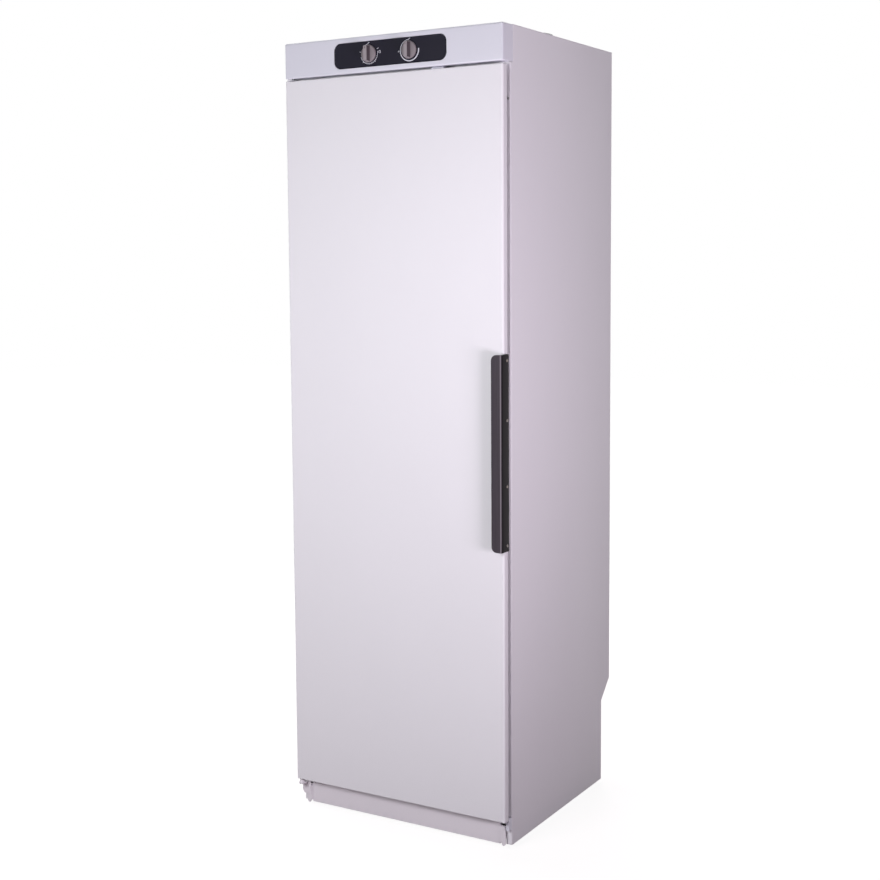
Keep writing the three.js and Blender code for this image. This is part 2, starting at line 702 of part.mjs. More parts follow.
// The ceiling between chamber and machine space, with the fan's intake grille, the
// warm-air slots and the exhaust opening.
function ceilingPanel() {
  const half = CHAMBER_HALF - SEAT_GAP;
  const back = CHAMBER_BACK - SEAT_GAP;
  const sheet = LINER_SHEET;
  const block = box(-half, half, BEHIND_FLANGE, back, CHAMBER_CEILING, CEILING_TOP + FIXING_HEM);
  const hollow = box(-half + sheet, half - sheet, BEHIND_FLANGE - 1, back - sheet, CEILING_TOP,
    CABINET_HEIGHT);
  const cuts = [];
  const through = (outline) => prism('z', outline, CHAMBER_CEILING - 1, CEILING_TOP + 1);
  const fanY = FRONT + FAN_SETBACK;
  for (let row = -3; row <= 3; row += 1) {
    const length = 2 * Math.sqrt(FAN_INLET_RADIUS ** 2 - (14 * row) ** 2) - 8;
    cuts.push(through(slot([FAN_X, fanY + 14 * row], length, 7)));
  }
  const ductY = fanY - FAN_WHEEL_RADIUS - FAN_RUNNING_GAP - SCROLL_GROWTH / 2 + 15;
  for (let column = 0; column < 6; column += 1) {
    cuts.push(through(rectangle(
      ductX(0) + 50 + 20 * column,
      ductX(0) + 60 + 20 * column,
      ductY - 20,
      ductY + 20,
      3,
    )));
  }
  const exhaustY = FRONT + EXHAUST_SETBACK;
  for (let row = -3; row <= 3; row += 1) {
    const bore = EXHAUST_RADIUS - EXHAUST_WALL - 6;
    const length = 2 * Math.sqrt(bore ** 2 - (15 * row) ** 2) - 8;
    cuts.push(through(slot([EXHAUST_X, exhaustY + 15 * row], length, 8)));
  }
  return without(block, [hollow, ...cuts]);
}

// ------------------------------------------------------------------ door and hinges

// The door skin's block: rounded front edges all round, set in for the hollow.
function doorBlock(inset) {
  const half = HALF_WIDTH - inset;
  const [front, back] = [FRONT + inset, FRONT + DOOR_SKIN_DEPTH - inset];
  const [bottom, top] = [DOOR_BOTTOM + inset, DOOR_TOP - inset];
  const radius = DOOR_EDGE_RADIUS - inset;
  const plan = rounded([[-half, front, radius], [half, front, radius], [half, back], [-half, back]]);
  const side = rounded([[front, bottom, 2], [back, bottom], [back, top], [front, top, 2]], 2);
  return prism('z', plan, bottom, top).intersect(prism('x', side, -half, half));
}

function doorSkin() {
  const rearY = FRONT + DOOR_SKIN_DEPTH;
  const window = box(
    -HALF_WIDTH + DOOR_HEM,
    HALF_WIDTH - DOOR_HEM,
    rearY - 2 * CASING_SHEET,
    rearY + 1,
    DOOR_BOTTOM + DOOR_HEM,
    DOOR_TOP - DOOR_HEM,
  );
  const bushRadius = HINGE_PIN_RADIUS + RUNNING_GAP + BUSH_WALL + SEAT_GAP;
  const hinge = [HINGE_X, HINGE_Y];
  const bushHoles = [
    drum('z', hinge, bushRadius, DOOR_BOTTOM - 1, DOOR_BOTTOM + 2),
    drum('z', hinge, bushRadius, DOOR_TOP - 2, DOOR_TOP + 1),
  ];
  const screwHoles = handleScrewPlaces().map((place) => {
    return drum('x', place, SCREW_RADIUS + RUNNING_GAP, HALF_WIDTH - 3, HALF_WIDTH + 1, 10);
  });
  const shell = doorBlock(0).subtract(doorBlock(CASING_SHEET));
  return without(shell, [window, ...bushHoles, ...screwHoles]);
}

// The inner door: a flat rim and a raised tray that fits into the chamber's opening.
function doorLiner() {
  const rimHalf = HALF_WIDTH - DOOR_LINER_INSET;
  const [rimBottom, rimTop] = [DOOR_BOTTOM + DOOR_LINER_INSET, DOOR_TOP - DOOR_LINER_INSET];
  const rim = prism(
    'y',
    rectangle(-rimHalf, rimHalf, rimBottom, rimTop, 3),
    LINER_RIM_Y,
    LINER_RIM_Y + LINER_SHEET,
  );
  const tray = (inset, from) => {
    const half = OPENING_HALF - DOOR_PLUG_MARGIN - inset;
    const bottom = CHAMBER_FLOOR + DOOR_PLUG_MARGIN / 2 + inset;
    const top = CEILING_TOP - DOOR_PLUG_MARGIN / 2 - inset;
    const outline = rectangle(-half, half, bottom, top, 20);
    return prism('y', outline, from, PLUG_FACE_Y - inset, [], DOOR_PLUG_ROUNDING);
  };
  const block = rim.add(tray(0, LINER_RIM_Y - 12).intersect(behind(LINER_RIM_Y)));
  const trayHollow = tray(LINER_SHEET, LINER_RIM_Y - 12);
  return block.subtract(trayHollow);
}

// Everything behind a plane across the depth.
function behind(y) {
  return box(-CABINET_WIDTH, CABINET_WIDTH, y, REAR, 0, CABINET_HEIGHT);
}

// The gasket's frame is a stack of three rings: foot, narrow neck and sealing lip.
function doorGasket() {
  const outerHalf = HALF_WIDTH - GASKET_INSET;
  const footY = LINER_RIM_Y + LINER_SHEET + SEAT_GAP;
  const lipY = FLANGE - SEAT_GAP;
  const bottom = CHAMBER_FLOOR - SEAT_GAP - 7 - GASKET_WIDTH;
  const top = CEILING_TOP + 5 + GASKET_WIDTH;
  const ring = (inset, from, to) => {
    const far = GASKET_WIDTH - inset;
    const outline = rectangle(-outerHalf + inset, outerHalf - inset, bottom + inset, top - inset, 9);
    const hole = rectangle(-outerHalf + far, outerHalf - far, bottom + far, top - far, 4);
    return prism('y', outline, from, to, [hole]);
  };
  const neck = (GASKET_WIDTH - GASKET_NECK) / 2;
  return joined([
    ring(0, footY, footY + 4),
    ring(neck, footY + 3.5, lipY - 3.5),
    ring(1, lipY - 4, lipY),
  ]);
}

// A flanged plastic bush: up is 1 for the top of the door and -1 for its bottom.
function hingeBush(edge, up) {
  const bore = HINGE_PIN_RADIUS + RUNNING_GAP;
  const outer = bore + BUSH_WALL;
  const place = (distance) => edge + up * distance;
  const profile = [
    [bore, place(-11)],
    [outer, place(-11)],
    [outer, place(SEAT_GAP)],
    [outer + 2.5, place(SEAT_GAP)],
    [outer + 2.5, place(SEAT_GAP + BUSH_COLLAR)],
    [bore, place(SEAT_GAP + BUSH_COLLAR)],
  ];
  return turned(profile, [HINGE_X, HINGE_Y], 16);
}

// A tongue with a round end about the hinge axis, seen from above.
function hingeTongue(from, to, rearY) {
  const round = circle([HINGE_X, HINGE_Y], HINGE_TONGUE_RADIUS, 24);
  const stem = box(HINGE_X - HINGE_TONGUE_RADIUS, HINGE_X + HINGE_TONGUE_RADIUS, HINGE_Y, rearY,
    from, to);
  return prism('z', round, from, to).add(stem);
}

function upperHinge() {
  const plateBottom = DOOR_TOP + 2 * SEAT_GAP + BUSH_COLLAR;
  const plateTop = plateBottom + HINGE_PLATE;
  const tabFront = FLANGE - SEAT_GAP - HINGE_PLATE;
  const tongue = hingeTongue(plateBottom, plateTop, FLANGE - SEAT_GAP);
  const tab = box(HINGE_X - 1, HINGE_X + 26, tabFront, FLANGE - SEAT_GAP, plateBottom,
    PANEL_BOTTOM + 30);
  const foot = box(HINGE_X - 1, HINGE_X + 26, tabFront, FLANGE - SEAT_GAP, plateBottom, plateTop);
  const pinEnd = plateBottom - HINGE_PIN_LENGTH;
  const pin = drum('z', [HINGE_X, HINGE_Y], HINGE_PIN_RADIUS, pinEnd, plateTop, 16);
  return joined([tongue, tab, foot, pin]);
}

function lowerHinge() {
  const plateTop = DOOR_BOTTOM - 11;
  const plateBottom = plateTop - HINGE_PLATE;
  const tabBack = FRONT + LEG_SETBACK - SEAT_GAP;
  const tabFront = tabBack - HINGE_PLATE;
  const tongue = hingeTongue(plateBottom, plateTop, tabBack);
  const tabOutline = rounded([
    [-HALF_WIDTH + 1, plateTop],
    [-HALF_WIDTH + 1, BASE_TOP + 8],
    [-HALF_WIDTH + 7, BASE_TOP, 3],
    [HINGE_X + 16, BASE_TOP],
    [HINGE_X + 16, plateTop],
  ]);
  const tab = prism('y', tabOutline, tabFront, tabBack);
  const collarTop = DOOR_BOTTOM - 2 * SEAT_GAP - BUSH_COLLAR;
  const pinTop = collarTop + HINGE_PIN_LENGTH;
  const centre = [HINGE_X, HINGE_Y];
  return joined([
    tongue,
    tab,
    drum('z', centre, HINGE_PIN_RADIUS + 2.5, plateTop - 1, collarTop, 16),
    drum('z', centre, HINGE_PIN_RADIUS, plateTop - 1, pinTop, 16),
  ]);
}

// --------------------------------------------------------------------------- handle

function handleScrewPlaces() {
  return HANDLE_SCREW_OFFSETS.map((dz) => [FRONT + HANDLE_SCREW_SETBACK, HANDLE_CENTRE + dz]);
}

// An L-shaped bar: its leg is screwed to the door's edge and its wing stands out in
// front of the door, so that fingers go behind it.
function doorHandle() {
  const tip = HANDLE_FACE_X - HANDLE_WIDTH;
  const seat = HALF_WIDTH + SEAT_GAP;
  const nose = FRONT - HANDLE_REACH;
  const wingBack = nose + HANDLE_THICKNESS;
  const section = rounded([
    [tip, nose, 2.2],
    [HANDLE_FACE_X, nose, 3],
    [HANDLE_FACE_X, FRONT + HANDLE_TAIL, 2],
    [seat, FRONT + HANDLE_TAIL],
    [seat, wingBack, 4],
    [tip, wingBack, 2.2],
  ]);
  const [bottom, top] = [HANDLE_CENTRE - HANDLE_LENGTH / 2, HANDLE_CENTRE + HANDLE_LENGTH / 2];
  const face = rounded([
    [tip, bottom, HANDLE_CORNER],
    [HANDLE_FACE_X, bottom, 2],
    [HANDLE_FACE_X, top, 2],
    [tip, top, HANDLE_CORNER],
  ], 6);
  const bar = prism('z', section, bottom, top);
  const outline = prism('y', face, nose - 1, FRONT + HANDLE_TAIL + 1);
  const holes = handleScrewPlaces().map((place) => {
    return drum('x', place, SCREW_RADIUS + RUNNING_GAP, seat - 1, HANDLE_FACE_X + 1, 10);
  });
  return without(bar.intersect(outline), holes);
}

function handleScrew([y, z]) {
  const seat = HANDLE_FACE_X + SEAT_GAP;
  const shank = drum('x', [y, z], SCREW_RADIUS, seat - SCREW_LENGTH, seat + 0.5, 10);
  const head = drum('x', [y, z], SCREW_HEAD_RADIUS, seat, seat + SCREW_HEAD_HEIGHT, 14);
  return shank.add(head);
}

// -------------------------------------------------------------------- control panel

// The housing's outline seen from the side; its top falls a little towards the front.
function panelOutline(inset) {
  const back = FRONT + PANEL_DEPTH;
  return rounded([
    [FRONT + inset, PANEL_BOTTOM + inset, 1.5],
    [back, PANEL_BOTTOM + inset],
    [back, CABINET_HEIGHT - inset],
    [FRONT + 0.7 * PANEL_DEPTH, CABINET_HEIGHT - inset],
    [FRONT + inset, CABINET_HEIGHT - PANEL_TOP_DROP - inset, PANEL_EDGE_RADIUS - inset],
  ]);
}

function panelBlock(inset, extra) {
  const half = HALF_WIDTH - inset;
  const radius = PANEL_EDGE_RADIUS - inset;
  const back = FRONT + PANEL_DEPTH + extra;
  const plan = rounded([
    [-half, FRONT + inset, radius],
    [half, FRONT + inset, radius],
    [half, back],
    [-half, back],
  ]);
  const outline = panelOutline(inset).map(([y, z]) => [y > back - extra - 1 ? back : y, z]);
  return prism('x', outline, -half, half).intersect(prism('z', plan, 0, CABINET_HEIGHT + 1));
}

function fasciaOutline(growth) {
  const half = FASCIA_WIDTH / 2 + growth;
  const rise = FASCIA_HEIGHT / 2 + growth;
  const corner = FASCIA_CORNER + growth;
  return rounded([
    [-half, FASCIA_CENTRE - rise, corner],
    [half, FASCIA_CENTRE - rise, corner],
    [half, FASCIA_CENTRE + rise, corner],
    [-half, FASCIA_CENTRE + rise, corner],
  ], 8);
}

function controlPanel() {
  const shell = panelBlock(0, 0).subtract(panelBlock(PANEL_WALL, 1));
  const sillCut = box(
    -HALF_WIDTH + PANEL_WALL,
    HALF_WIDTH - PANEL_WALL,
    FRONT + PANEL_SILL_DEPTH,
    FRONT + PANEL_DEPTH + 1,
    PANEL_BOTTOM - 1,
    PANEL_BOTTOM + PANEL_WALL + 1,
  );
  const window = prism('y', fasciaOutline(SEAT_GAP), FRONT - 1, FRONT + PANEL_WALL + 1);
  const bosses = [-1, 1].flatMap((side) => PANEL_BOSS_PLACES.map((x) => {
    const centre = [side * x, FASCIA_CENTRE];
    const [from, to] = [FRONT + PANEL_WALL, FLANGE - SEAT_GAP];
    const boss = drum('y', centre, PANEL_BOSS_RADIUS, from - 0.5, to, 12);
    return boss.subtract(drum('y', centre, PANEL_BOSS_BORE, from + 4, FLANGE, 8));
  }));
  return joined([without(shell, [sillCut, window]), ...bosses]);
}

// The dark insert: a plate in the panel's window with a wider lip behind it.
function controlFascia() {
  const front = FRONT + FASCIA_SETBACK;
  const lipFront = FRONT + PANEL_WALL + SEAT_GAP;
  const lipBack = lipFront + FASCIA_LIP_SHEET;
  const plate = prism('y', fasciaOutline(0), front, lipFront + 0.5);
  const lip = prism('y', fasciaOutline(FASCIA_LIP), lipFront, lipBack);
  const holes = Object.values(KNOB_CENTRES).map((x) => {
    return drum('y', [x, FASCIA_CENTRE], KNOB_SHAFT_RADIUS + 1, front - 1, lipBack + 1, 16);
  });
  return without(plate.add(lip), holes);
}

const KNOB_BACK = FRONT - 0.3; // the knobs' rear face, just clear of the fascia
const SHAFT_FRONT = FRONT - 12;
const SHAFT_BACK = FRONT + 26;

// The shaft's round section has a flat on it in front, where the knob is pushed on.
function knobShaft(x) {
  const bar = drum('y', [x, FASCIA_CENTRE], KNOB_SHAFT_RADIUS, SHAFT_FRONT, SHAFT_BACK, 16);
  return bar.subtract(shaftFlat(x, KNOB_SHAFT_RADIUS - 0.8));
}

function shaftFlat(x, height) {
  const top = FASCIA_CENTRE + 2 * KNOB_SHAFT_RADIUS;
  return box(x - 5, x + 5, SHAFT_FRONT - 1, FRONT - 1, FASCIA_CENTRE + height, top);
}

// A round knob with a chamfered skirt and a raised grip bar across it.
function knob(x) {
  const reach = KNOB_REACH - 0.3;
  const skirt = turned([
    [0, 0],
    [KNOB_RADIUS, 0],
    [KNOB_RADIUS, 3],
    [KNOB_RADIUS - 1, 6],
    [KNOB_RADIUS - 3.5, KNOB_SKIRT],
    [0, KNOB_SKIRT],
  ], [0, 0], 32);
  const half = KNOB_GRIP_WIDTH / 2;
  const bar = prism('y', rounded([
    [-half, 1],
    [half, 1],
    [half - 1.2, reach, 1.5],
    [-half + 1.2, reach, 1.5],
  ]), -KNOB_RADIUS, KNOB_RADIUS);
  const crown = turned([
    [0, 0],
    [KNOB_RADIUS - 1.5, 0],
    [KNOB_RADIUS - 3, reach - 1.5],
    [KNOB_RADIUS - 4.5, reach],
    [0, reach],
  ], [0, 0], 32);
  const upright = skirt.add(bar.intersect(crown));
  const bore = RUNNING_GAP + KNOB_SHAFT_RADIUS;
  const hole = drum('y', [x, FASCIA_CENTRE], bore, SHAFT_FRONT - SEAT_GAP, FRONT, 16);
  const flat = shaftFlat(x, KNOB_SHAFT_RADIUS - 0.8 + RUNNING_GAP);
  return facingFront(upright, x).subtract(hole.subtract(flat));
}

// Turns a piece made upright at the origin so that its top faces the front, and seats it
// on the fascia at x.
function facingFront(body, x) {
  const mesh = body.getMesh();
  const geometry = new THREE.BufferGeometry();
  geometry.setAttribute('position', new THREE.BufferAttribute(mesh.vertProperties, 3));
  geometry.setIndex(new THREE.BufferAttribute(mesh.triVerts, 1));
  geometry.rotateX(Math.PI / 2);
  geometry.translate(x, KNOB_BACK, FASCIA_CENTRE);
  return solid(geometry);
}

// The switch unit behind each knob: a square case with a round neck at the fascia.
function controlUnit(x) {
  const half = CONTROL_UNIT_SIZE / 2;
  const neckFront = FRONT + PANEL_WALL + FASCIA_LIP_SHEET + 2 * SEAT_GAP;
  const caseFront = neckFront + CONTROL_UNIT_NECK;
  const outline = rectangle(x - half, x + half, FASCIA_CENTRE - half, FASCIA_CENTRE + half, 4);
  const body = prism('y', outline, caseFront, FLANGE - SEAT_GAP);
  const centre = [x, FASCIA_CENTRE];
  const neck = drum('y', centre, CONTROL_UNIT_NECK_RADIUS, neckFront, caseFront + 1, 16);
  const bore = KNOB_SHAFT_RADIUS + RUNNING_GAP;
  const hole = drum('y', centre, bore, neckFront - 1, SHAFT_BACK + 2 * SEAT_GAP, 16);
  return body.add(neck).subtract(hole);
}

// ------------------------------------------------------- door switch and flange bits

function switchTab() {
  const [x0, x1] = [SWITCH_X - SWITCH_TAB_WIDTH / 2, SWITCH_X + SWITCH_TAB_WIDTH / 2];
  const [bottom, top] = [DOOR_TOP + SEAT_GAP, PANEL_BOTTOM - 1.5];
  const rear = FLANGE - PLUNGER_REACH - SEAT_GAP;
  const side = rounded([
    [FRONT + 1, bottom],
    [rear, bottom],
    [rear, top],
    [FRONT + 8, top, 2],
    [FRONT + 1, bottom + 2, 1],
  ]);
  return prism('x', side, x0, x1);
}

function switchPlunger() {
  const centre = [SWITCH_X, SWITCH_Z];
  return drum('y', centre, PLUNGER_RADIUS, FLANGE - PLUNGER_REACH, FLANGE + 10, 16);
}

function doorSwitch() {
  const half = 11;
  const front = BEHIND_FLANGE;
  const body = box(SWITCH_X - half, SWITCH_X + half, front, front + 24, SWITCH_Z - 9, SWITCH_Z + 9);
  const bore = PLUNGER_RADIUS + RUNNING_GAP;
  return body.subtract(drum('y', [SWITCH_X, SWITCH_Z], bore, front - 1, FLANGE + 14, 16));
}

function flangePlug() {
  const centre = [HALF_WIDTH - FLANGE_PLUG_INSET, FLANGE_PLUG_HEIGHT];
  const seat = FLANGE - SEAT_GAP;
  const head = drum('y', centre, PLUG_STEM_RADIUS + 1, seat - 1, seat, 12);
  return head.add(drum('y', centre, PLUG_STEM_RADIUS, seat - 0.5, seat + 5, 12));
}

// A white wedge on the flange that takes the door's lower corner.
function doorRestBlock() {
  const seat = FLANGE - SEAT_GAP;
  const side = rounded([
    [seat, DOOR_BOTTOM - 27],
    [seat, DOOR_BOTTOM + 4],
    [FRONT + DOOR_SKIN_DEPTH + 3, DOOR_BOTTOM + 4, 2],
    [FRONT + DOOR_SKIN_DEPTH - 2, DOOR_BOTTOM - 3, 2],
    [FRONT + DOOR_SKIN_DEPTH - 2, DOOR_BOTTOM - 12, 2],
  ]);
  return prism('x', side, HALF_WIDTH - 10.5, HALF_WIDTH - 1);
}

// ---------------------------------------------------------------------------- racks

const RACK_PIVOT_Y = CHAMBER_BACK - RACK_PIVOT_SETBACK;
const RACK_HALF = ((RACK_PRONGS - 1) / 2) * RACK_PITCH + 20;
const BRACKET_BACK = CHAMBER_BACK - SEAT_GAP;

// Prongs stand forward from a pivot rod and turn up at their tips.
function hangerRack(height) {
  const end = RACK_PIVOT_Y - RACK_REACH;
  const bend = RACK_TIP_BEND;
  const rods = [bentRod([
    [-RACK_HALF - 5, RACK_PIVOT_Y, height],
    [0, RACK_PIVOT_Y, height],
    [RACK_HALF + 5, RACK_PIVOT_Y, height],
  ], RACK_ROD_RADIUS, 10)];
  for (let k = 0; k < RACK_PRONGS; k += 1) {
    const x = (k - (RACK_PRONGS - 1) / 2) * RACK_PITCH;
    const curve = [0, 1, 2, 3].map((step) => {
      const angle = (step * Math.PI) / 6;
      return [x, end + bend - bend * Math.sin(angle), height + bend - bend * Math.cos(angle)];
    });
    const path = [[x, RACK_PIVOT_Y, height], ...curve, [x, end, height + RACK_TIP]];
    rods.push(bentRod(path, RACK_ROD_RADIUS - 0.5, 6));
  }
  return joined(rods);
}

// A wall plate with a lip that the prongs rest on and an ear at each end for the rod.
function rackBracket(height) {
  const sheet = RACK_BRACKET_SHEET;
  const lipTop = height - RACK_ROD_RADIUS - RUNNING_GAP;
  const plateFront = BRACKET_BACK - sheet;
  const lipFront = RACK_PIVOT_Y - 18;
  const half = RACK_HALF;
  const body = joined([
    box(-half, half, plateFront, BRACKET_BACK, lipTop - sheet, height + RACK_BRACKET_RISE),
    box(-half, half, lipFront, BRACKET_BACK, lipTop - sheet, lipTop),
    ...[-half, half - sheet].map((x) => {
      const ear = rounded([
        [BRACKET_BACK - 1, lipTop - 1],
        [RACK_PIVOT_Y - 10, lipTop - 1],
        [RACK_PIVOT_Y - 10, height + 9, 8],
        [BRACKET_BACK - 1, height + RACK_BRACKET_RISE - 4],
      ]);
      return prism('x', ear, x, x + sheet);
    }),
  ]);
  const bore = RACK_ROD_RADIUS + RUNNING_GAP;
  const reach = half + 10;
  return body.subtract(drum('x', [RACK_PIVOT_Y, height], bore, -reach, reach, 16));
}

// Pegs for gloves on the inside of the door, sloping up from a flat strip.
function gloveRack() {
  const seat = PLUG_FACE_Y + SEAT_GAP;
  const half = GLOVE_RACK_WIDTH / 2;
  const rise = GLOVE_STRIP_HEIGHT / 2;
  const strip = rectangle(-half, half, GLOVE_RACK_HEIGHT - rise, GLOVE_RACK_HEIGHT + rise, 8);
  const pieces = [prism('y', strip, seat, seat + GLOVE_STRIP_SHEET)];
  const span = GLOVE_RACK_WIDTH - 2 * GLOVE_PEG_INSET;
  for (let k = 0; k < GLOVE_PEGS; k += 1) {
    const x = -span / 2 + (k * span) / (GLOVE_PEGS - 1);
    pieces.push(bentRod([
      [x, seat + 1, GLOVE_RACK_HEIGHT],
      [x, seat + 1 + GLOVE_PEG_REACH / 2, GLOVE_RACK_HEIGHT + 0.4 * GLOVE_PEG_RISE],
      [x, seat + 1 + GLOVE_PEG_REACH, GLOVE_RACK_HEIGHT + GLOVE_PEG_RISE],
    ], GLOVE_PEG_RADIUS, 8));
  }
  return joined(pieces);
}

// ----------------------------------------------------------------------- air system

const FAN_Y = FRONT + FAN_SETBACK;
const SCROLL_BOTTOM = CEILING_TOP + SEAT_GAP;
const SCROLL_TOP = SCROLL_BOTTOM + SCROLL_HEIGHT;
const SCROLL_RADIUS = FAN_WHEEL_RADIUS + FAN_RUNNING_GAP;
const TONGUE_ANGLE = (-40 * Math.PI) / 180;
const OUTLET_FRONT = FAN_Y - SCROLL_RADIUS - SCROLL_GROWTH;
const OUTLET_BACK = FAN_Y + SCROLL_RADIUS * Math.sin(TONGUE_ANGLE);
const WHEEL_BOTTOM = SCROLL_BOTTOM + (SCROLL_HEIGHT - FAN_WHEEL_HEIGHT) / 2;

// A station along the heater duct, measured from the fan's outlet.
function ductX(distance) {
  return FAN_X + SCROLL_OUTLET_REACH + SEAT_GAP + distance;
}

// The fan casing seen from above: a spiral that widens from the tongue round to the
// outlet, which blows towards +X.
function scrollOutline(inset, overrun) {
  const points = [];
  const steps = 30;
  const full = (3 * Math.PI) / 2 - TONGUE_ANGLE;
  for (let k = 0; k <= steps; k += 1) {
    const angle = TONGUE_ANGLE + (full * k) / steps;
    const radius = SCROLL_RADIUS + (SCROLL_GROWTH * k) / steps - inset;
    points.push([FAN_X + radius * Math.cos(angle), FAN_Y + radius * Math.sin(angle)]);
  }
  const end = FAN_X + SCROLL_OUTLET_REACH + overrun;
  return [...points, [end, OUTLET_FRONT + inset], [end, OUTLET_BACK - inset]];
}

function fanHousing() {
  const sheet = FAN_SHEET;
  const block = prism('z', scrollOutline(0, 0), SCROLL_BOTTOM, SCROLL_TOP);
  const hollow = prism('z', scrollOutline(sheet, 1), SCROLL_BOTTOM + sheet, SCROLL_TOP - sheet);
  const centre = [FAN_X, FAN_Y];
  const inlet = drum('z', centre, FAN_INLET_RADIUS, SCROLL_BOTTOM - 1, SCROLL_BOTTOM + 5, 32);
  const shaftHole = drum('z', centre, FAN_SHAFT_RADIUS + 2, SCROLL_TOP - 5, SCROLL_TOP + 1, 16);
  return without(block, [hollow, inlet, shaftHole]);
}

// Forward-curved blades between a back plate and a front ring, on the motor's shaft.
function fanWheel() {
  const centre = [FAN_X, FAN_Y];
  const top = WHEEL_BOTTOM + FAN_WHEEL_HEIGHT;
  const inner = FAN_WHEEL_RADIUS - FAN_BLADE_DEPTH;
  const ring = (radius, bore, from, to) => {
    return prism('z', circle(centre, radius, 32), from, to, bore ? [circle(centre, bore, 32)] : []);
  };
  const pieces = [
    ring(FAN_WHEEL_RADIUS, 0, top - 2, top),
    ring(FAN_WHEEL_RADIUS, FAN_WHEEL_RADIUS - 5, WHEEL_BOTTOM, WHEEL_BOTTOM + 2),
    drum('z', centre, FAN_HUB_RADIUS, top - 16, top - 1, 16),
    drum('z', centre, FAN_SHAFT_RADIUS, top - 10, SCROLL_TOP + FAN_SHAFT_REACH, 12),
  ];
  for (let k = 0; k < FAN_BLADES; k += 1) {
    const start = (2 * Math.PI * k) / FAN_BLADES;
    const line = [0, 1, 2].map((step) => {
      const radius = inner + ((FAN_BLADE_DEPTH - 0.6) * step) / 2;
      const angle = start + 0.06 * step * step;
      return [FAN_X + radius * Math.cos(angle), FAN_Y + radius * Math.sin(angle)];
    });
    const outline = [...line, ...shifted(line, 1.4).reverse()];
    pieces.push(prism('z', outline, WHEEL_BOTTOM + 1, top - 1));
  }
  return joined(pieces);
}

function fanMotor() {
  const bottom = SCROLL_TOP + SEAT_GAP;
  const bore = FAN_SHAFT_RADIUS + RUNNING_GAP;
  const boreEnd = SCROLL_TOP + FAN_SHAFT_REACH + 2 * SEAT_GAP;
  const profile = [
    [bore, bottom],
    [MOTOR_RADIUS + 12, bottom],
    [MOTOR_RADIUS + 12, bottom + 2.5],
    [MOTOR_RADIUS, bottom + 2.5],
    [MOTOR_RADIUS, bottom + MOTOR_HEIGHT - 6],
    [MOTOR_RADIUS - 6, bottom + MOTOR_HEIGHT],
    [0, bottom + MOTOR_HEIGHT],
    [0, boreEnd],
    [bore, boreEnd],
  ];
  return turned(profile, [FAN_X, FAN_Y], 24);
}

// A sheet duct from the fan's outlet over the warm-air slots; it is open underneath.
function heaterDuct() {
  const sheet = FAN_SHEET;
  const [x0, x1] = [ductX(0), ductX(HEATER_LENGTH)];
  const block = box(x0, x1, OUTLET_FRONT, OUTLET_BACK, SCROLL_BOTTOM, SCROLL_TOP);
  const hollow = box(x0 - 1, x1 - sheet, OUTLET_FRONT + sheet, OUTLET_BACK - sheet,
    SCROLL_BOTTOM - 1, SCROLL_TOP - sheet);
  const holes = heaterEnds().map((place) => {
    return drum('x', place, HEATER_TUBE_RADIUS + RUNNING_GAP, x1 - 3, x1 + 1, 12);
  });
  return without(block, [hollow, ...holes]);
}

// Where the two ends of the heating tube leave the duct's end wall.
function heaterEnds() {
  const z = SCROLL_BOTTOM + SCROLL_HEIGHT / 2;
  const middle = (OUTLET_FRONT + OUTLET_BACK) / 2;
  const spread = ((HEATER_RUNS - 1) / 2) * HEATER_PITCH;
  return [[middle - spread, z], [middle + spread, z]];
}

// One heating tube that runs to and fro along the duct.
function heaterElement() {
  const [[firstY, z]] = heaterEnds();
  const far = ductX(HEATER_LENGTH) + 12;
  const near = ductX(14);
  const turn = ductX(HEATER_LENGTH - 22);
  const bend = HEATER_PITCH / 2;
  const path = [[far, firstY, z]];
  for (let run = 0; run < HEATER_RUNS - 1; run += 1) {
    const forward = run % 2 === 0;
    const centreX = forward ? near + bend : turn - bend;
    const centreY = firstY + (run + 0.5) * HEATER_PITCH;
    for (let step = 0; step <= 6; step += 1) {
      const angle = (step * Math.PI) / 6;
      const out = bend * Math.sin(angle);
      path.push([forward ? centreX - out : centreX + out, centreY - bend * Math.cos(angle), z]);
    }
  }
  path.push([far, firstY + (HEATER_RUNS - 1) * HEATER_PITCH, z]);
  return bentRod(path, HEATER_TUBE_RADIUS, 8);
}

// The round duct from the chamber's ceiling up through the roof, with a rim on the roof.
function exhaustSpigot() {
  const bore = EXHAUST_RADIUS - EXHAUST_WALL;
  const rim = CABINET_HEIGHT + SEAT_GAP;
  return turned([
    [bore, CEILING_TOP + SEAT_GAP],
    [EXHAUST_RADIUS, CEILING_TOP + SEAT_GAP],
    [EXHAUST_RADIUS, rim],
    [EXHAUST_RADIUS + EXHAUST_RIM, rim],
    [EXHAUST_RADIUS + EXHAUST_RIM, rim + EXHAUST_WALL],
    [EXHAUST_RADIUS, rim + EXHAUST_WALL],
    [EXHAUST_RADIUS, CABINET_HEIGHT + EXHAUST_RISE],
    [bore, CABINET_HEIGHT + EXHAUST_RISE],
  ], [EXHAUST_X, FRONT + EXHAUST_SETBACK], 32);
}

// A snap-in gland in the rear panel for the mains lead.
function cableGland() {
  const inner = REAR - CASING_SHEET - SEAT_GAP;
  const body = joined([
    drum('y', CABLE_PLACE, GLAND_RADIUS, inner - 6, REAR - 0.5, 16),
    drum('y', CABLE_PLACE, GLAND_RADIUS + 3, inner - 3, inner, 16),
  ]);
  return body.subtract(drum('y', CABLE_PLACE, CABLE_BORE_RADIUS, inner - 7, REAR + 1, 12));
}

// -------------------------------------------------------------------------- assembly

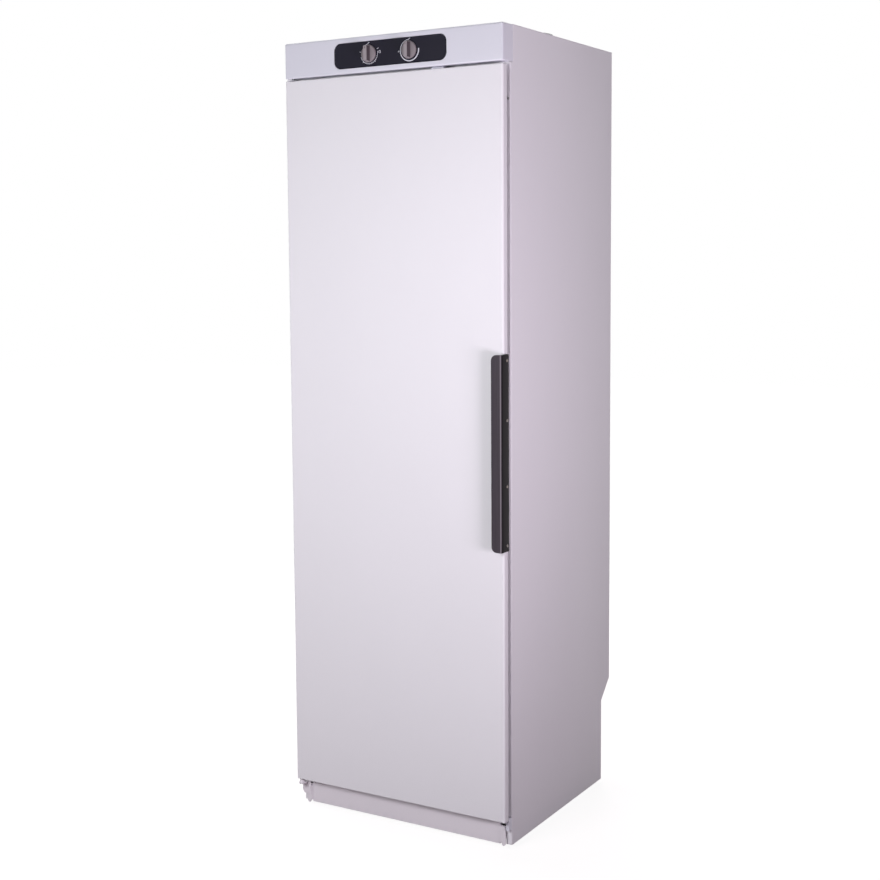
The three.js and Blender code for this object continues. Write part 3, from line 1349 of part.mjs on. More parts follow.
addPart('left_side_panel', sidePanel(-1), WHITE_PAINT);
addPart('right_side_panel', sidePanel(1), WHITE_PAINT);
addPart('top_panel', topPanel(), WHITE_PAINT);
addPart('rear_panel', rearPanel(), ZINC);
addPart('rear_kick_panel', rearKickPanel(), ZINC);
addPart('base_pan', basePan(), ZINC);
addPart('plinth', plinth(), SHADED_PAINT);
addPart('left_leg_bracket', legBracket(-1), SHADED_PAINT);
addPart('right_leg_bracket', legBracket(1), SHADED_PAINT);
addPart('front_bottom_rail', bottomRail(), WHITE_PAINT);
addPart('front_header_rail', headerRail(), WHITE_PAINT);
addPart('left_liner', sideLiner(-1), WHITE_PAINT);
addPart('right_liner', sideLiner(1), WHITE_PAINT);
addPart('back_liner', backLiner(), WHITE_PAINT);
addPart('chamber_floor', chamberFloor(), WHITE_PAINT);
addPart('ceiling_panel', ceilingPanel(), WHITE_PAINT);

const FOOT_NAMES = ['front_left', 'front_right', 'rear_left', 'rear_right'];
footPlaces().forEach((place, k) => {
  addPart(`levelling_foot_${FOOT_NAMES[k]}`, levellingFoot(place), BLACK_RUBBER);
});

addPart('door_skin', doorSkin(), WHITE_PAINT);
addPart('door_liner', doorLiner(), WHITE_PAINT);
addPart('door_gasket', doorGasket(), GREY_RUBBER);
addPart('door_handle', doorHandle(), DARK_HANDLE);
handleScrewPlaces().forEach((place, k) => {
  addPart(`handle_screw_${k + 1}`, handleScrew(place), BRIGHT_STEEL);
});
addPart('door_switch_tab', switchTab(), WHITE_PLASTIC);
addPart('glove_rack', gloveRack(), WHITE_PLASTIC);
addPart('upper_hinge_bush', hingeBush(DOOR_TOP, 1), WHITE_PLASTIC);
addPart('lower_hinge_bush', hingeBush(DOOR_BOTTOM, -1), BLACK_PLASTIC);
addPart('upper_hinge_bracket', upperHinge(), WHITE_PAINT);
addPart('lower_hinge_bracket', lowerHinge(), SHADED_PAINT);

addPart('control_panel', controlPanel(), WHITE_PLASTIC);
addPart('control_fascia', controlFascia(), BLACK_GLOSS);
for (const [name, x] of Object.entries(KNOB_CENTRES)) {
  addPart(`${name}_knob`, knob(x), GREY_KNOB);
  addPart(`${name}_shaft`, knobShaft(x), BRIGHT_STEEL);
  addPart(`${name}_unit`, controlUnit(x), BLACK_PLASTIC);
}

addPart('door_switch', doorSwitch(), BLACK_PLASTIC);
addPart('door_switch_plunger', switchPlunger(), WHITE_PLASTIC);
addPart('flange_plug', flangePlug(), BLACK_PLASTIC);
addPart('door_rest_block', doorRestBlock(), WHITE_PLASTIC);

for (const [name, height] of Object.entries(RACK_HEIGHTS)) {
  addPart(`hanger_rack_${name}`, hangerRack(height), BRIGHT_STEEL);
  addPart(`rack_bracket_${name}`, rackBracket(height), ZINC);
}

addPart('fan_housing', fanHousing(), ZINC);
addPart('fan_wheel', fanWheel(), DARK_STEEL);
addPart('fan_motor', fanMotor(), BLACK_PLASTIC);
addPart('heater_duct', heaterDuct(), ZINC);
addPart('heater_element', heaterElement(), DARK_STEEL);
addPart('exhaust_spigot', exhaustSpigot(), ZINC);
addPart('cable_gland', cableGland(), BLACK_PLASTIC);

export default cabinet;
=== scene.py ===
"""Looks of a tall drying cabinet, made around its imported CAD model.

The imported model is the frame: every size and place below is read from it, in millimetres,
with X to the right seen from the front, Y from front to rear and Z up. Each sub-assembly is
a class that builds its visible surfaces with numpy and dresses its nodes with finishes.
"""

import logging
from dataclasses import dataclass
from enum import Enum
from typing import Optional, Sequence, Union

import bmesh
import bpy
import numpy as np
from mathutils import Matrix, Vector


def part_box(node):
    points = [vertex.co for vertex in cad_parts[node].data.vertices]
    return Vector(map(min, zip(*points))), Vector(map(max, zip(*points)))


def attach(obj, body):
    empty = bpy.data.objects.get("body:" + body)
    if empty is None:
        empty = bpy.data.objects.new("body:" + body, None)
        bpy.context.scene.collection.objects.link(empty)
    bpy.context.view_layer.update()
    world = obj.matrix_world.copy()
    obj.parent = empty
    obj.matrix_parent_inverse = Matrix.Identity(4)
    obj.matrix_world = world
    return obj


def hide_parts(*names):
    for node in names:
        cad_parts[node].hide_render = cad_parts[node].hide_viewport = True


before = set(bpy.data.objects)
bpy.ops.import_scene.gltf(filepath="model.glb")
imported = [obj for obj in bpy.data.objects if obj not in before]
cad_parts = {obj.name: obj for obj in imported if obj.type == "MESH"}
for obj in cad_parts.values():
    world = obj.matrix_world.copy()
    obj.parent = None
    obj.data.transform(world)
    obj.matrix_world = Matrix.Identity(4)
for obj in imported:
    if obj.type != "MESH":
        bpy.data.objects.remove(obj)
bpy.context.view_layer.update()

Array = np.ndarray
Numbers = Sequence[float]
Color = tuple[float, float, float]
Socket = bpy.types.NodeSocket
Input = Union[Socket, float, Numbers]
Object = bpy.types.Object

MM = 0.001
X, Y, Z = np.eye(3)
FRONT_VIEW = [0, 2]  # the axes that the front view shows
log = logging.getLogger("drying_cabinet")


class Slot(Enum):
    """The record's material slots."""

    WHITE_PAINT = "white_paint"
    SHADED_PAINT = "shaded_paint"
    WHITE_PLASTIC = "white_plastic"
    BLACK_GLOSS = "black_gloss"
    GREY_KNOB = "grey_knob"
    DARK_HANDLE = "dark_handle"
    GREY_RUBBER = "grey_rubber"
    BLACK_RUBBER = "black_rubber"
    ZINC_SHEET = "zinc_sheet"
    BRIGHT_STEEL = "bright_steel"
    DARK_STEEL = "dark_steel"
    BLACK_PLASTIC = "black_plastic"


class Body(Enum):
    """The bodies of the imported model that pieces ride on."""

    CABINET = "cabinet"
    DOOR = "door"
    TIMER_DIAL = "timer_dial"
    THERMOSTAT_DIAL = "thermostat_dial"
    RACK_MID = "rack_mid"
    RACK_LOW = "rack_low"
    SWITCH_BUTTON = "switch_button"


class Side(Enum):
    """The two sides of the cabinet, as the sign of x."""

    LEFT = -1
    RIGHT = 1


# ------------------------------------------------------------------- surfaces in numpy


@dataclass
class Box:
    """Lowest and highest corner of a node, in millimetres."""

    low: Array
    high: Array

    @staticmethod
    def of(node: str) -> "Box":
        """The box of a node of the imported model."""
        return Box(*(np.array(corner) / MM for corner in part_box(node)))

    @property
    def centre(self) -> Array:
        """The middle of the box."""
        return (self.low + self.high) / 2

    @property
    def size(self) -> Array:
        """Its length along each axis."""
        return self.high - self.low

    @property
    def front(self) -> tuple[Array, Array]:
        """Its lowest and highest corner in the front view."""
        return self.low[FRONT_VIEW], self.high[FRONT_VIEW]

    def middle(self, axis: int, end: float) -> Array:
        """A place on the box's middle line along an axis."""
        return np.where(np.arange(3) == axis, end, self.centre)


@dataclass
class Surface:
    """A closed surface: points in millimetres, quads, and flat caps of many corners."""

    points: Array
    quads: Array
    caps: list[Array]

    @staticmethod
    def lofted(rings: Array, closed: bool = False) -> "Surface":
        """A surface through closed rings of points; each quad joins a point to its
        neighbours in the next column and row.

        Args:
            rings: Points as (ring, place round the ring, xyz).
            closed: Whether the last ring joins the first; otherwise both ends get a cap.

        Returns:
            The surface, with its faces outwards.
        """
        index = np.arange(rings[..., 0].size).reshape(rings.shape[:2])
        caps = [] if closed else [index[0, ::-1], index[-1]]
        index = np.concatenate([index, index[:, :1]], axis=1)
        if closed:
            index = np.concatenate([index, index[:1]])
        corners = [index[:-1, :-1], index[:-1, 1:], index[1:, 1:], index[1:, :-1]]
        quads = np.stack(corners, axis=-1).reshape(-1, 4)
        return Surface(rings.reshape(-1, 3), quads, caps).outward()

    def outward(self) -> "Surface":
        """Turns the faces over if the enclosed volume is negative.

        Six times the volume is the sum of the triple products of a fan of triangles over
        each face, taken about the middle of the points.

        Returns:
            The same surface.
        """
        fans = [self.quads[:, [0, 1, 2]], self.quads[:, [0, 2, 3]]]
        for cap in self.caps:
            hub = np.full(len(cap) - 2, cap[0])
            fans.append(np.stack([hub, cap[1:-1], cap[2:]], axis=1))
        points = self.points - self.points.mean(axis=0)
        a, b, c = (points[np.concatenate(fans)[:, k]] for k in range(3))
        if np.einsum("ij,ij->", a, np.cross(b, c)) < 0:
            self.quads = self.quads[:, ::-1]
            self.caps = [cap[::-1] for cap in self.caps]
        return self

    @staticmethod
    def joined(surfaces: Sequence["Surface"]) -> "Surface":
        """Several closed surfaces as one.

        Args:
            surfaces: The surfaces, in order.

        Returns:
            One surface with the points, quads and caps of all.
        """
        starts = np.cumsum([0] + [len(surface.points) for surface in surfaces])
        points = np.concatenate([surface.points for surface in surfaces])
        quads = np.concatenate([s.quads + start for s, start in zip(surfaces, starts)])
        caps = [cap + start for s, start in zip(surfaces, starts) for cap in s.caps]
        return Surface(points, quads, caps)

    def mesh(self, name: str) -> bpy.types.Mesh:
        """The surface as a mesh in metres.

        Args:
            name: The mesh's name.

        Returns:
            The mesh.
        """
        made = bpy.data.meshes.new(name)
        faces = self.quads.tolist() + [cap.tolist() for cap in self.caps]
        made.from_pydata((self.points * MM).tolist(), [], faces)
        made.update()
        return made


def xyz(x: Union[Array, float], y: Union[Array, float], z: Union[Array, float]) -> Array:
    """Points from their coordinates, each an array or one number for all."""
    return np.stack(np.broadcast_arrays(x, y, z), axis=-1)


def upright(points: Array, depth: Union[Array, float]) -> Array:
    """Points drawn in the front view, (..., 2) as x and z, set at a depth y."""
    return xyz(points[..., 0], depth, points[..., 1])


def stacked(rows: Sequence[Union[Array, float]], places: int) -> Array:
    """Rows, each an array of places or one number for all of them, as one array."""
    return np.stack([np.broadcast_to(row, places) for row in rows])


def spokes(angle: Union[Array, float]) -> Array:
    """Unit directions (cos a, sin a) for angles in degrees."""
    turn = np.radians(angle)
    return np.stack([np.cos(turn), np.sin(turn)], axis=-1)


def arc(centre: Numbers, radius: float, start: float, end: float, steps: int) -> Array:
    """Points round a circle, at equal steps from one angle in degrees to another."""
    return np.array(centre) + radius * spokes(np.linspace(start, end, steps + 1))


def fillet(steps: int) -> tuple[Array, Array]:
    """A rounded edge, from the face round to the side, as shares of its radius.

    Args:
        steps: Steps round the edge, each an equal part of the turn t from 0 to 90 degrees.

    Returns:
        How far in from the side each place is, 1 - sin t, and how far behind the face,
        1 - cos t.
    """
    turn = np.radians(np.linspace(0, 90, steps + 1))
    return 1 - np.sin(turn), 1 - np.cos(turn)


def rounded_path(corners: Sequence[Numbers], steps: int) -> Array:
    """A line through corners [u, v, radius], each turned by an arc that touches both legs.

    The arc starts at radius / tan(half the corner's angle) along each leg, and its points
    are equally spaced round its centre, which lies on the corner's bisector.

    Args:
        corners: The corners, with a radius of 0 for a sharp one or the end of an open line.
        steps: Steps in each arc.

    Returns:
        The line's points as (n, 2).
    """
    table = np.array(corners, float)
    places = table[:, :2]
    pieces = []
    for k, (place, radius) in enumerate(zip(places, table[:, 2])):
        if not radius:
            pieces.append(place[None])
            continue
        legs = (places[k - 1] - place, places[(k + 1) % len(places)] - place)
        before, after = (leg / np.linalg.norm(leg) for leg in legs)
        half = np.arccos(np.clip(before @ after, -1, 1)) / 2
        bisector = (before + after) / np.linalg.norm(before + after)
        centre = place + bisector * radius / np.sin(half)
        rays = [place + leg * radius / np.tan(half) - centre for leg in (before, after)]
        start, stop = (np.degrees(np.arctan2(ray[1], ray[0])) for ray in rays)
        turn = (stop - start + 180) % 360 - 180
        pieces.append(arc(centre, radius, start, start + turn, steps))
    return np.concatenate(pieces)


def corner_ways() -> Array:
    """Outward directions round a rounded rectangle: nine in a quarter turn at a corner."""
    return spokes(np.linspace(-90, 0, 9) + 90 * np.arange(4)[:, None]).reshape(-1, 2)


def rounded_rings(low: Array, high: Array, radius: float, insets: Numbers) -> Array:
    """Rounded rectangles, one inside another.

    Each corner is a quarter circle of the given radius less the inset, and the sides are
    the straight lines between the quarters.

    Args:
        low: Lowest corner of the outermost rectangle, (u, v).
        high: Its highest corner.
        radius: Its corner radius.
        insets: Inset of each rectangle, or a pair along u and v for each.

    Returns:
        Points as (n, places, 2), a place for each of corner_ways().
    """
    least = 0.2  # of a corner's radius
    outward = corner_ways()
    insets = np.array(insets, float).reshape(len(insets), -1)
    bend = np.maximum(radius - insets, least)[:, None]
    near, far = (low + insets)[:, None] + bend, (high - insets)[:, None] - bend
    corner = np.repeat([[1, 0], [1, 1], [0, 1], [0, 0]], len(outward) // 4, axis=0)
    return np.where(corner == 1, far, near) + bend * outward


def turned(profile: Sequence[Numbers], base: Numbers, axis: Array, sides: int,
           closed: bool = False) -> Surface:
    """A profile turned about an axis.

    A point is base + height * axis + radius * (cos a * across + sin a * up), where across
    and up are square to the axis.

    Args:
        profile: [radius, height] points, with no radius of 0.
        base: Where height is 0.
        axis: Direction of the height.
        sides: Steps round.
        closed: Whether the profile is a closed ring, as of a bush.

    Returns:
        The turned surface.
    """
    profile = np.array(profile, float)
    across = np.cross(X if axis[2] else Z, axis)
    angle = 360 * (np.arange(sides) + 0.5) / sides
    spoke = spokes(angle) @ np.stack([across, np.cross(axis, across)])
    rings = profile[:, None, :1] * spoke + profile[:, None, 1:] * axis
    return Surface.lofted(rings + np.array(base, float), closed)


def tube(path: Array, radius: float, across: Array, sides: int) -> Surface:
    """A round bar with domed ends along a path that lies in one plane.

    A point is the path's point plus radius times (cos a * across + sin a * normal), where
    the normal lies in the path's plane. Each dome is three rings whose radius falls as a
    cosine while they move on as a sine.

    Args:
        path: Points of the centre line, (n, 3).
        radius: The bar's radius.
        across: Unit vector square to the plane of the path.
        sides: Steps round the bar.

    Returns:
        The bar's surface.
    """
    along = np.gradient(path, axis=0)
    along /= np.linalg.norm(along, axis=1)[:, None]
    lift = np.radians([30, 55, 75])
    dome = radius * np.sin(lift)[:, None]
    rim = radius * np.cos(lift)
    swell = np.concatenate([rim[::-1], np.full(len(path), radius), rim])[:, None, None]
    path = np.concatenate([path[0] - along[0] * dome[::-1], path, path[-1] + along[-1] * dome])
    along = np.pad(along, ((len(lift),) * 2, (0, 0)), "edge")
    cosine, sine = spokes(360 * np.arange(sides) / sides).T[:, :, None]
    spoke = cosine * across + sine * np.cross(across, along)[:, None]
    return Surface.lofted(path[:, None] + swell * spoke)


def ribbon(inner: Array, outer: Array, front: float, back: float) -> Surface:
    """A thin flat mark between two lines of the front view.

    Args:
        inner: Points of its inner line, (n, 2).
        outer: Points of its outer line, (n, 2).
        front: Depth of its face.
        back: Depth of its back.

    Returns:
        Its surface, through a ring of four points at each place of the lines.
    """
    edges = ((inner, front), (outer, front), (outer, back), (inner, back))
    return Surface.lofted(np.stack([upright(*edge) for edge in edges], axis=1))


def screw_head(base: Numbers, axis: Array, radius: float, height: float,
               sides: int) -> Surface:
    """A domed screw head with a cross recess, whose bars are 45 % of the height deep.

    Args:
        base: Middle of the head's seat.
        axis: Direction in which the head stands out.
        radius: The head's radius.
        height: The head's height at its middle.
        sides: Steps round the head.

    Returns:
        The head's surface.
    """
    share = np.array([1, 1, 0.97, 0.9, 0.78, 0.64, 0.6, 0.45, 0.3, 0.2, 0.12])
    level = np.array([0, 0.25, 0.42, 0.6, 0.75, 0.85, 0.87, 0.93, 0.97, 0.99, 1.0])
    bar_half, bar_reach, floor, sunk = 0.17, 0.62, 0.5, 0.45
    head = turned(np.stack([share * radius, level * height], axis=-1), (0, 0, 0), Z, sides)
    x, y, z = head.points.T
    near, far = np.minimum(abs(x), abs(y)), np.maximum(abs(x), abs(y))
    recess = (near < bar_half * radius) & (far < bar_reach * radius) & (z > floor * height)
    head.points[:, 2] = np.where(recess, z - sunk * height, z)
    turn = Vector(Z).rotation_difference(Vector(axis)).to_matrix()
    head.points = head.points @ np.array(turn).T + np.array(base, float)
    return head


# ------------------------------------------------------------------------- shader graphs


class Graph:
    """A node tree with one short call for each node."""

    def __init__(self, tree: bpy.types.NodeTree) -> None:
        """Keeps the tree that nodes are added to."""
        self.tree = tree

    @staticmethod
    def of(block: Union[bpy.types.Material, bpy.types.World]) -> "Graph":
        """The graph of a new material or world, emptied.

        Args:
            block: The material or world.

        Returns:
            Its graph.
        """
        block.use_nodes = True
        block.node_tree.nodes.clear()
        return Graph(block.node_tree)

    def add(self, kind: str, inputs: Optional[dict] = None,
            **settings: Union[str, bpy.types.ID]) -> bpy.types.Node:
        """Adds a node.

        Args:
            kind: Name of the node's class, without its ShaderNode prefix.
            inputs: Value or socket for each input, by name or by number.
            settings: Properties of the node.

        Returns:
            The node.
        """
        node = self.tree.nodes.new("ShaderNode" + kind)
        for name, value in settings.items():
            setattr(node, name, value)
        for name, value in (inputs or {}).items():
            if isinstance(value, Socket):
                self.tree.links.new(value, node.inputs[name])
            else:
                node.inputs[name].default_value = value
        return node

    def math(self, operation: str, *values: Input) -> Socket:
        """Result of a sum on numbers or sockets."""
        return self.add("Math", dict(enumerate(values)), operation=operation).outputs[0]

    def span(self, value: Socket, low: float, high: float, to_low: float, to_high: float) -> Socket:
        """A value carried from one range to another, and held inside the new range."""
        inputs = zip(range(5), (value, low, high, to_low, to_high))
        return self.add("MapRange", dict(inputs)).outputs["Result"]

    def blended(self, factor: Socket, first: Input, second: Input) -> Socket:
        """Two colours mixed by a factor."""
        colors = [c if isinstance(c, Socket) else (*c, 1) for c in (first, second)]
        return self.add("Mix", {0: factor, 6: colors[0], 7: colors[1]}, data_type="RGBA").outputs[2]

    def lit(self, color: Socket, value: Socket) -> Socket:
        """A colour made lighter or darker by a factor."""
        return self.add("HueSaturation", {"Color": color, "Value": value}).outputs[0]

    def noise(self, place: Socket, scale: Input, detail: float = 2, rough: float = 0.5) -> Socket:
        """Smooth noise from 0 to 1 at a place."""
        inputs = {"Vector": place, "Scale": scale, "Detail": detail, "Roughness": rough}
        return self.add("TexNoise", inputs).outputs[0]

    def stretched(self, place: Socket, scale: Numbers) -> Socket:
        """A place with each axis scaled, for patterns that run along one axis."""
        return self.add("Mapping", {"Vector": place, "Scale": scale}).outputs[0]

    def between(self, factor: Socket, first: bpy.types.Node, second: bpy.types.Node) -> Socket:
        """Two shaders mixed by a factor."""
        inputs = {0: factor, 1: first.outputs[0], 2: second.outputs[0]}
        return self.add("MixShader", inputs).outputs[0]


class Effect(Graph):
    """A shared effect: the graph of a shader node group with named inputs and outputs."""

    KINDS = {"Place": "NodeSocketVector", "Stretch": "NodeSocketVector",
             "Color": "NodeSocketColor"}

    def __init__(self, name: str, inputs: str, outputs: str) -> None:
        """Makes the empty group and its sockets.

        Args:
            name: The group's name.
            inputs: Titles of its inputs; one that isn't in KINDS is a plain number.
            outputs: Titles of its outputs, colours or values that change over a surface.
        """
        super().__init__(bpy.data.node_groups.new(name, "ShaderNodeTree"))
        for flow, titles in (("INPUT", inputs), ("OUTPUT", outputs)):
            for title in titles.split():
                kind = self.KINDS.get(title, "NodeSocketFloat")
                self.tree.interface.new_socket(title, in_out=flow, socket_type=kind)
        self.taken = self.tree.nodes.new("NodeGroupInput").outputs[:-1]
        self.given = self.tree.nodes.new("NodeGroupOutput").inputs

    def give(self, *results: Socket) -> "Effect":
        """Joins results to the group's outputs, in order.

        Args:
            results: The sockets.

        Returns:
            The effect.
        """
        for socket, output in zip(results, self.given):
            self.tree.links.new(socket, output)
        return self


class Effects:
    """The shared effects, each built once."""

    def __init__(self) -> None:
        """Builds every group."""
        self.peel = self.orange_peel()
        self.drift = self.tone_drift()
        self.smudge = self.smudges()
        self.dust = self.settled_dust()
        self.lines = self.brush_lines()
        self.flakes = self.spangle()

    @staticmethod
    def orange_peel() -> Effect:
        """Height of a sprayed or moulded skin: soft dimples with a finer grain on them.

        Returns:
            The effect.
        """
        g = Effect("orange_peel", "Place Scale", "Height")
        place, scale = g.taken
        dimples = g.noise(place, scale, 1.5)
        grain = g.noise(place, g.math("MULTIPLY", scale, 5.3), 2)
        return g.give(g.math("MULTIPLY_ADD", grain, 0.3, dimples))

    @staticmethod
    def tone_drift() -> Effect:
        """Colour that grows a little lighter and darker over a hand's breadth.

        Returns:
            The effect.
        """
        g = Effect("tone_drift", "Place Color Amount", "Color")
        place, color, amount = g.taken
        broad = g.noise(g.stretched(place, (1, 1, 0.6)), 5, 3)
        mottle = g.math("MULTIPLY_ADD", g.noise(place, 60, 3), 0.35, broad)
        change = g.math("MULTIPLY", g.math("SUBTRACT", mottle, 0.67), amount)
        return g.give(g.lit(color, g.math("ADD", change, 1)))

    @staticmethod
    def smudges() -> Effect:
        """Roughness with the faint patches that wiping and fingers leave.

        Returns:
            The effect.
        """
        g = Effect("smudges", "Place Roughness Amount", "Roughness")
        place, roughness, amount = g.taken
        wiped = g.noise(g.stretched(place, (9, 9, 2.5)), 1.6, 4, 0.6)
        spots = g.span(g.noise(place, 38, 3, 0.65), 0.55, 0.75, 0, 1)
        patch = g.math("MULTIPLY_ADD", spots, 0.4, wiped)
        change = g.math("MULTIPLY", g.math("SUBTRACT", patch, 0.55), amount)
        return g.give(g.math("ADD", roughness, change))

    @staticmethod
    def settled_dust() -> Effect:
        """How much dust lies at a place: more on faces that look up, broken by noise.

        Returns:
            The effect.
        """
        g = Effect("settled_dust", "Place Amount", "Mask")
        place, amount = g.taken
        normal = g.add("NewGeometry").outputs["Normal"]
        up = g.add("SeparateXYZ", {0: normal}).outputs[2]
        cloud = g.span(g.noise(place, 22, 5, 0.65), 0.3, 0.75, 0.15, 1)
        lying = g.math("MULTIPLY", g.span(up, 0.35, 1, 0, 1), cloud)
        return g.give(g.math("MULTIPLY", lying, amount))

    @staticmethod
    def brush_lines() -> Effect:
        """Fine parallel lines, from noise that is stretched along one axis.

        Returns:
            The effect.
        """
        g = Effect("brush_lines", "Place Stretch Scale", "Value")
        place, stretch, scale = g.taken
        drawn = g.add("VectorMath", {0: place, 1: stretch}, operation="MULTIPLY").outputs[0]
        broad = g.noise(drawn, scale, 3, 0.6)
        fine = g.noise(drawn, g.math("MULTIPLY", scale, 3.7), 2, 0.6)
        return g.give(g.math("MULTIPLY_ADD", fine, 0.5, g.math("MULTIPLY", broad, 0.5)))

    @staticmethod
    def spangle() -> Effect:
        """Zinc flakes: a random value for each cell and a fine line where cells meet.

        Returns:
            The effect.
        """
        g = Effect("zinc_spangle", "Place Scale", "Value Seam")
        place, scale = g.taken
        reach = (0.012,) * 3  # metres that the flakes' outlines wander
        wander = g.add("TexNoise", {"Vector": place, "Scale": 90.0}).outputs["Color"]
        shifted = g.add("VectorMath", {0: wander, 1: reach, 2: place},
                        operation="MULTIPLY_ADD").outputs[0]
        cells = {"Vector": shifted, "Scale": scale}
        tint = g.add("TexVoronoi", cells).outputs["Color"]
        tone = g.add("SeparateColor", {0: tint}).outputs[0]
        edge = g.add("TexVoronoi", cells, feature="DISTANCE_TO_EDGE").outputs["Distance"]
        return g.give(tone, g.span(edge, 0.0, 0.05, 1, 0))


# ------------------------------------------------------------------------------ finishes


@dataclass
class Spot:
    """Where a finish is worked out: its graph, the shared effects and the place."""

    g: Graph
    fx: Effects
    place: Socket

    def use(self, effect: Effect, output: str, **inputs: Input) -> Socket:
        """One output of a shared effect at this place."""
        inputs["Place"] = self.place
        return self.g.add("Group", inputs, node_tree=effect.tree).outputs[output]


@dataclass(frozen=True)
class Finish:
    """A finish with a sprayed or moulded skin; its colour is linear."""

    slot: Slot
    color: Color
    roughness: float
    metallic: float = 0.0
    specular: float = 0.5
    peel_pitch: float = 2.2  # mm between dimples
    peel_depth: float = 0.02  # mm
    drift: float = 0.05
    smudge: float = 0.12
    dust: float = 0.12
    dust_color: Color = (0.55, 0.53, 0.5)
    dust_roughness: float = 0.4

    def toned(self, at: Spot) -> Socket:
        """The finish's own colour, with its slow drift."""
        return at.use(at.fx.drift, "Color", Color=(*self.color, 1), Amount=self.drift)

    def relief(self, at: Spot) -> Socket:
        """Height as a share of the peel's depth."""
        return at.use(at.fx.peel, "Height", Scale=1 / (self.peel_pitch * MM))

    def polish(self, at: Spot) -> Socket:
        """Roughness over the surface."""
        return at.use(at.fx.smudge, "Roughness", Roughness=self.roughness, Amount=self.smudge)

    def material(self, fx: Effects) -> bpy.types.Material:
        """Builds the material.

        Args:
            fx: The shared effects.

        Returns:
            A material with one Principled BSDF, read by Object coordinates.
        """
        made = bpy.data.materials.new(self.slot.value)
        g = Graph.of(made)
        at = Spot(g, fx, g.add("TexCoord").outputs["Object"])
        color, roughness = self.toned(at), self.polish(at)
        lying = at.use(fx.dust, "Mask", Amount=self.dust)
        color = g.blended(lying, color, self.dust_color)
        rougher = g.math("MULTIPLY", lying, self.dust_roughness)
        roughness = g.math("ADD", roughness, rougher)
        bump = g.add("Bump", {"Height": self.relief(at), "Strength": 1.0,
                              "Distance": self.peel_depth * MM})
        shader = g.add("BsdfPrincipled", {
            "Base Color": color, "Roughness": roughness, "Metallic": self.metallic,
            "Specular IOR Level": self.specular, "Normal": bump.outputs[0]})
        g.add("OutputMaterial", {"Surface": shader.outputs[0]})
        return made


@dataclass(frozen=True)
class DrawnFinish(Finish):
    """A finish with fine lines along one axis, as drawn steel or extruded bar has."""

    stretch: tuple[float, float, float] = (1, 1, 0.01)
    line_scale: float = 900.0
    line_tone: float = 0.3

    def toned(self, at: Spot) -> Socket:
        """The drifting colour, lighter and darker from line to line."""
        base, tone = super().toned(at), self.line_tone
        return at.g.lit(base, at.g.span(self.relief(at), 0.25, 0.75, 1 - tone, 1 + tone))

    def relief(self, at: Spot) -> Socket:
        """The lines' own height."""
        return at.use(at.fx.lines, "Value", Stretch=self.stretch, Scale=self.line_scale)


@dataclass(frozen=True)
class HandleFinish(DrawnFinish):
    """A drawn bar: a painted highlight runs along the outer arris of its front, and painted shade
    darkens its side and back.
    """

    arris: tuple[float, float] = (298.2, 302.0)  # mm across; the band of the painted highlight
    # colour of the painted highlight along the arris
    painted_highlight_color: Color = (0.25, 0.225, 0.25)
    painted_shade_from: float = -305.2  # mm; behind this depth the bar gets painted shade
    # colour of the painted shade on the side and back
    painted_shade_color: Color = (0.012, 0.0095, 0.0115)
    fade: float = 0.2

    def toned(self, at: Spot) -> Socket:
        """The drawn colour, blended to the painted highlight on the arris and then to the painted
        shade, by place.

        Args:
            at: The spot.

        Returns:
            The colour.
        """
        base, g = super().toned(at), at.g
        axes = g.add("SeparateXYZ", {0: at.place}).outputs
        low, high, depth, fade = (v * MM for v in (*self.arris, self.painted_shade_from, self.fade))
        middle = (low + high) / 2
        # painted highlight on the arris, then painted shade on the side and behind the given depth
        rise = g.span(axes[0], low, middle, 0, 1)
        painted_highlight = g.math("MULTIPLY", rise, g.span(axes[0], middle, high, 1, 0))
        highlighted = g.blended(painted_highlight, base, self.painted_highlight_color)
        side = g.span(axes[0], high, high + fade, 0, 1)
        dark = g.math("MAXIMUM", side, g.span(axes[1], depth, depth + fade, 0, 1))
        return g.blended(dark, highlighted, self.painted_shade_color)


@dataclass(frozen=True)
class KnobFinish(Finish):
    """A moulded knob whose grip has a pale face and flanks darkened by painted shade. The knobs
    stand at equal and opposite places, so the distance from the middle of each is the same sum on
    x."""

    hub: float = 55.0  # mm across, of each knob on its side
    face_half: float = 4.3
    grip_foot: float = -292.4  # mm; the grip stands in front of this depth
    face_color: Color = (0.33, 0.295, 0.315)
    # painted shade on the grip's flanks
    flank_painted_shade: Color = (0.095, 0.078, 0.088)
    fade: float = 0.35

    def toned(self, at: Spot) -> Socket:
        """The drifting colour, then the face's colour and the flanks' painted shade, by place.

        Args:
            at: The spot.

        Returns:
            The colour.
        """
        base, g = super().toned(at), at.g
        axes = g.add("SeparateXYZ", {0: at.place}).outputs
        hub, half, foot, fade = (
            v * MM for v in (self.hub, self.face_half, self.grip_foot, self.fade))
        along = g.math("WRAP", axes[0], 2 * hub, 0.0)
        away = g.math("ABSOLUTE", g.math("SUBTRACT", along, hub))
        grip = g.span(axes[1], foot, foot + fade, 1, 0)
        # the grip's flanks get painted shade
        flank = g.span(away, half, half + fade, 0, 1)
        return g.blended(grip, base, g.blended(flank, self.face_color, self.flank_painted_shade))


@dataclass(frozen=True)
class ZincFinish(Finish):
    """Galvanised sheet: flakes that differ in tone and polish, with faint seams."""

    flake_scale: float = 85.0

    def flakes(self, at: Spot, output: str) -> Socket:
        """One output of the spangle."""
        return at.use(at.fx.flakes, output, Scale=self.flake_scale)

    def toned(self, at: Spot) -> Socket:
        """The drifting colour, by the tone of each flake."""
        base = super().toned(at)
        return at.g.lit(base, at.g.span(self.flakes(at, "Value"), 0, 1, 0.76, 1.16))

    def polish(self, at: Spot) -> Socket:
        """Smudged roughness, by the tone of each flake."""
        base = super().polish(at)
        return at.g.math("ADD", base, at.g.span(self.flakes(at, "Value"), 0, 1, -0.08, 0.1))

    def relief(self, at: Spot) -> Socket:
        """The seams between flakes, as shallow lines."""
        return self.flakes(at, "Seam")


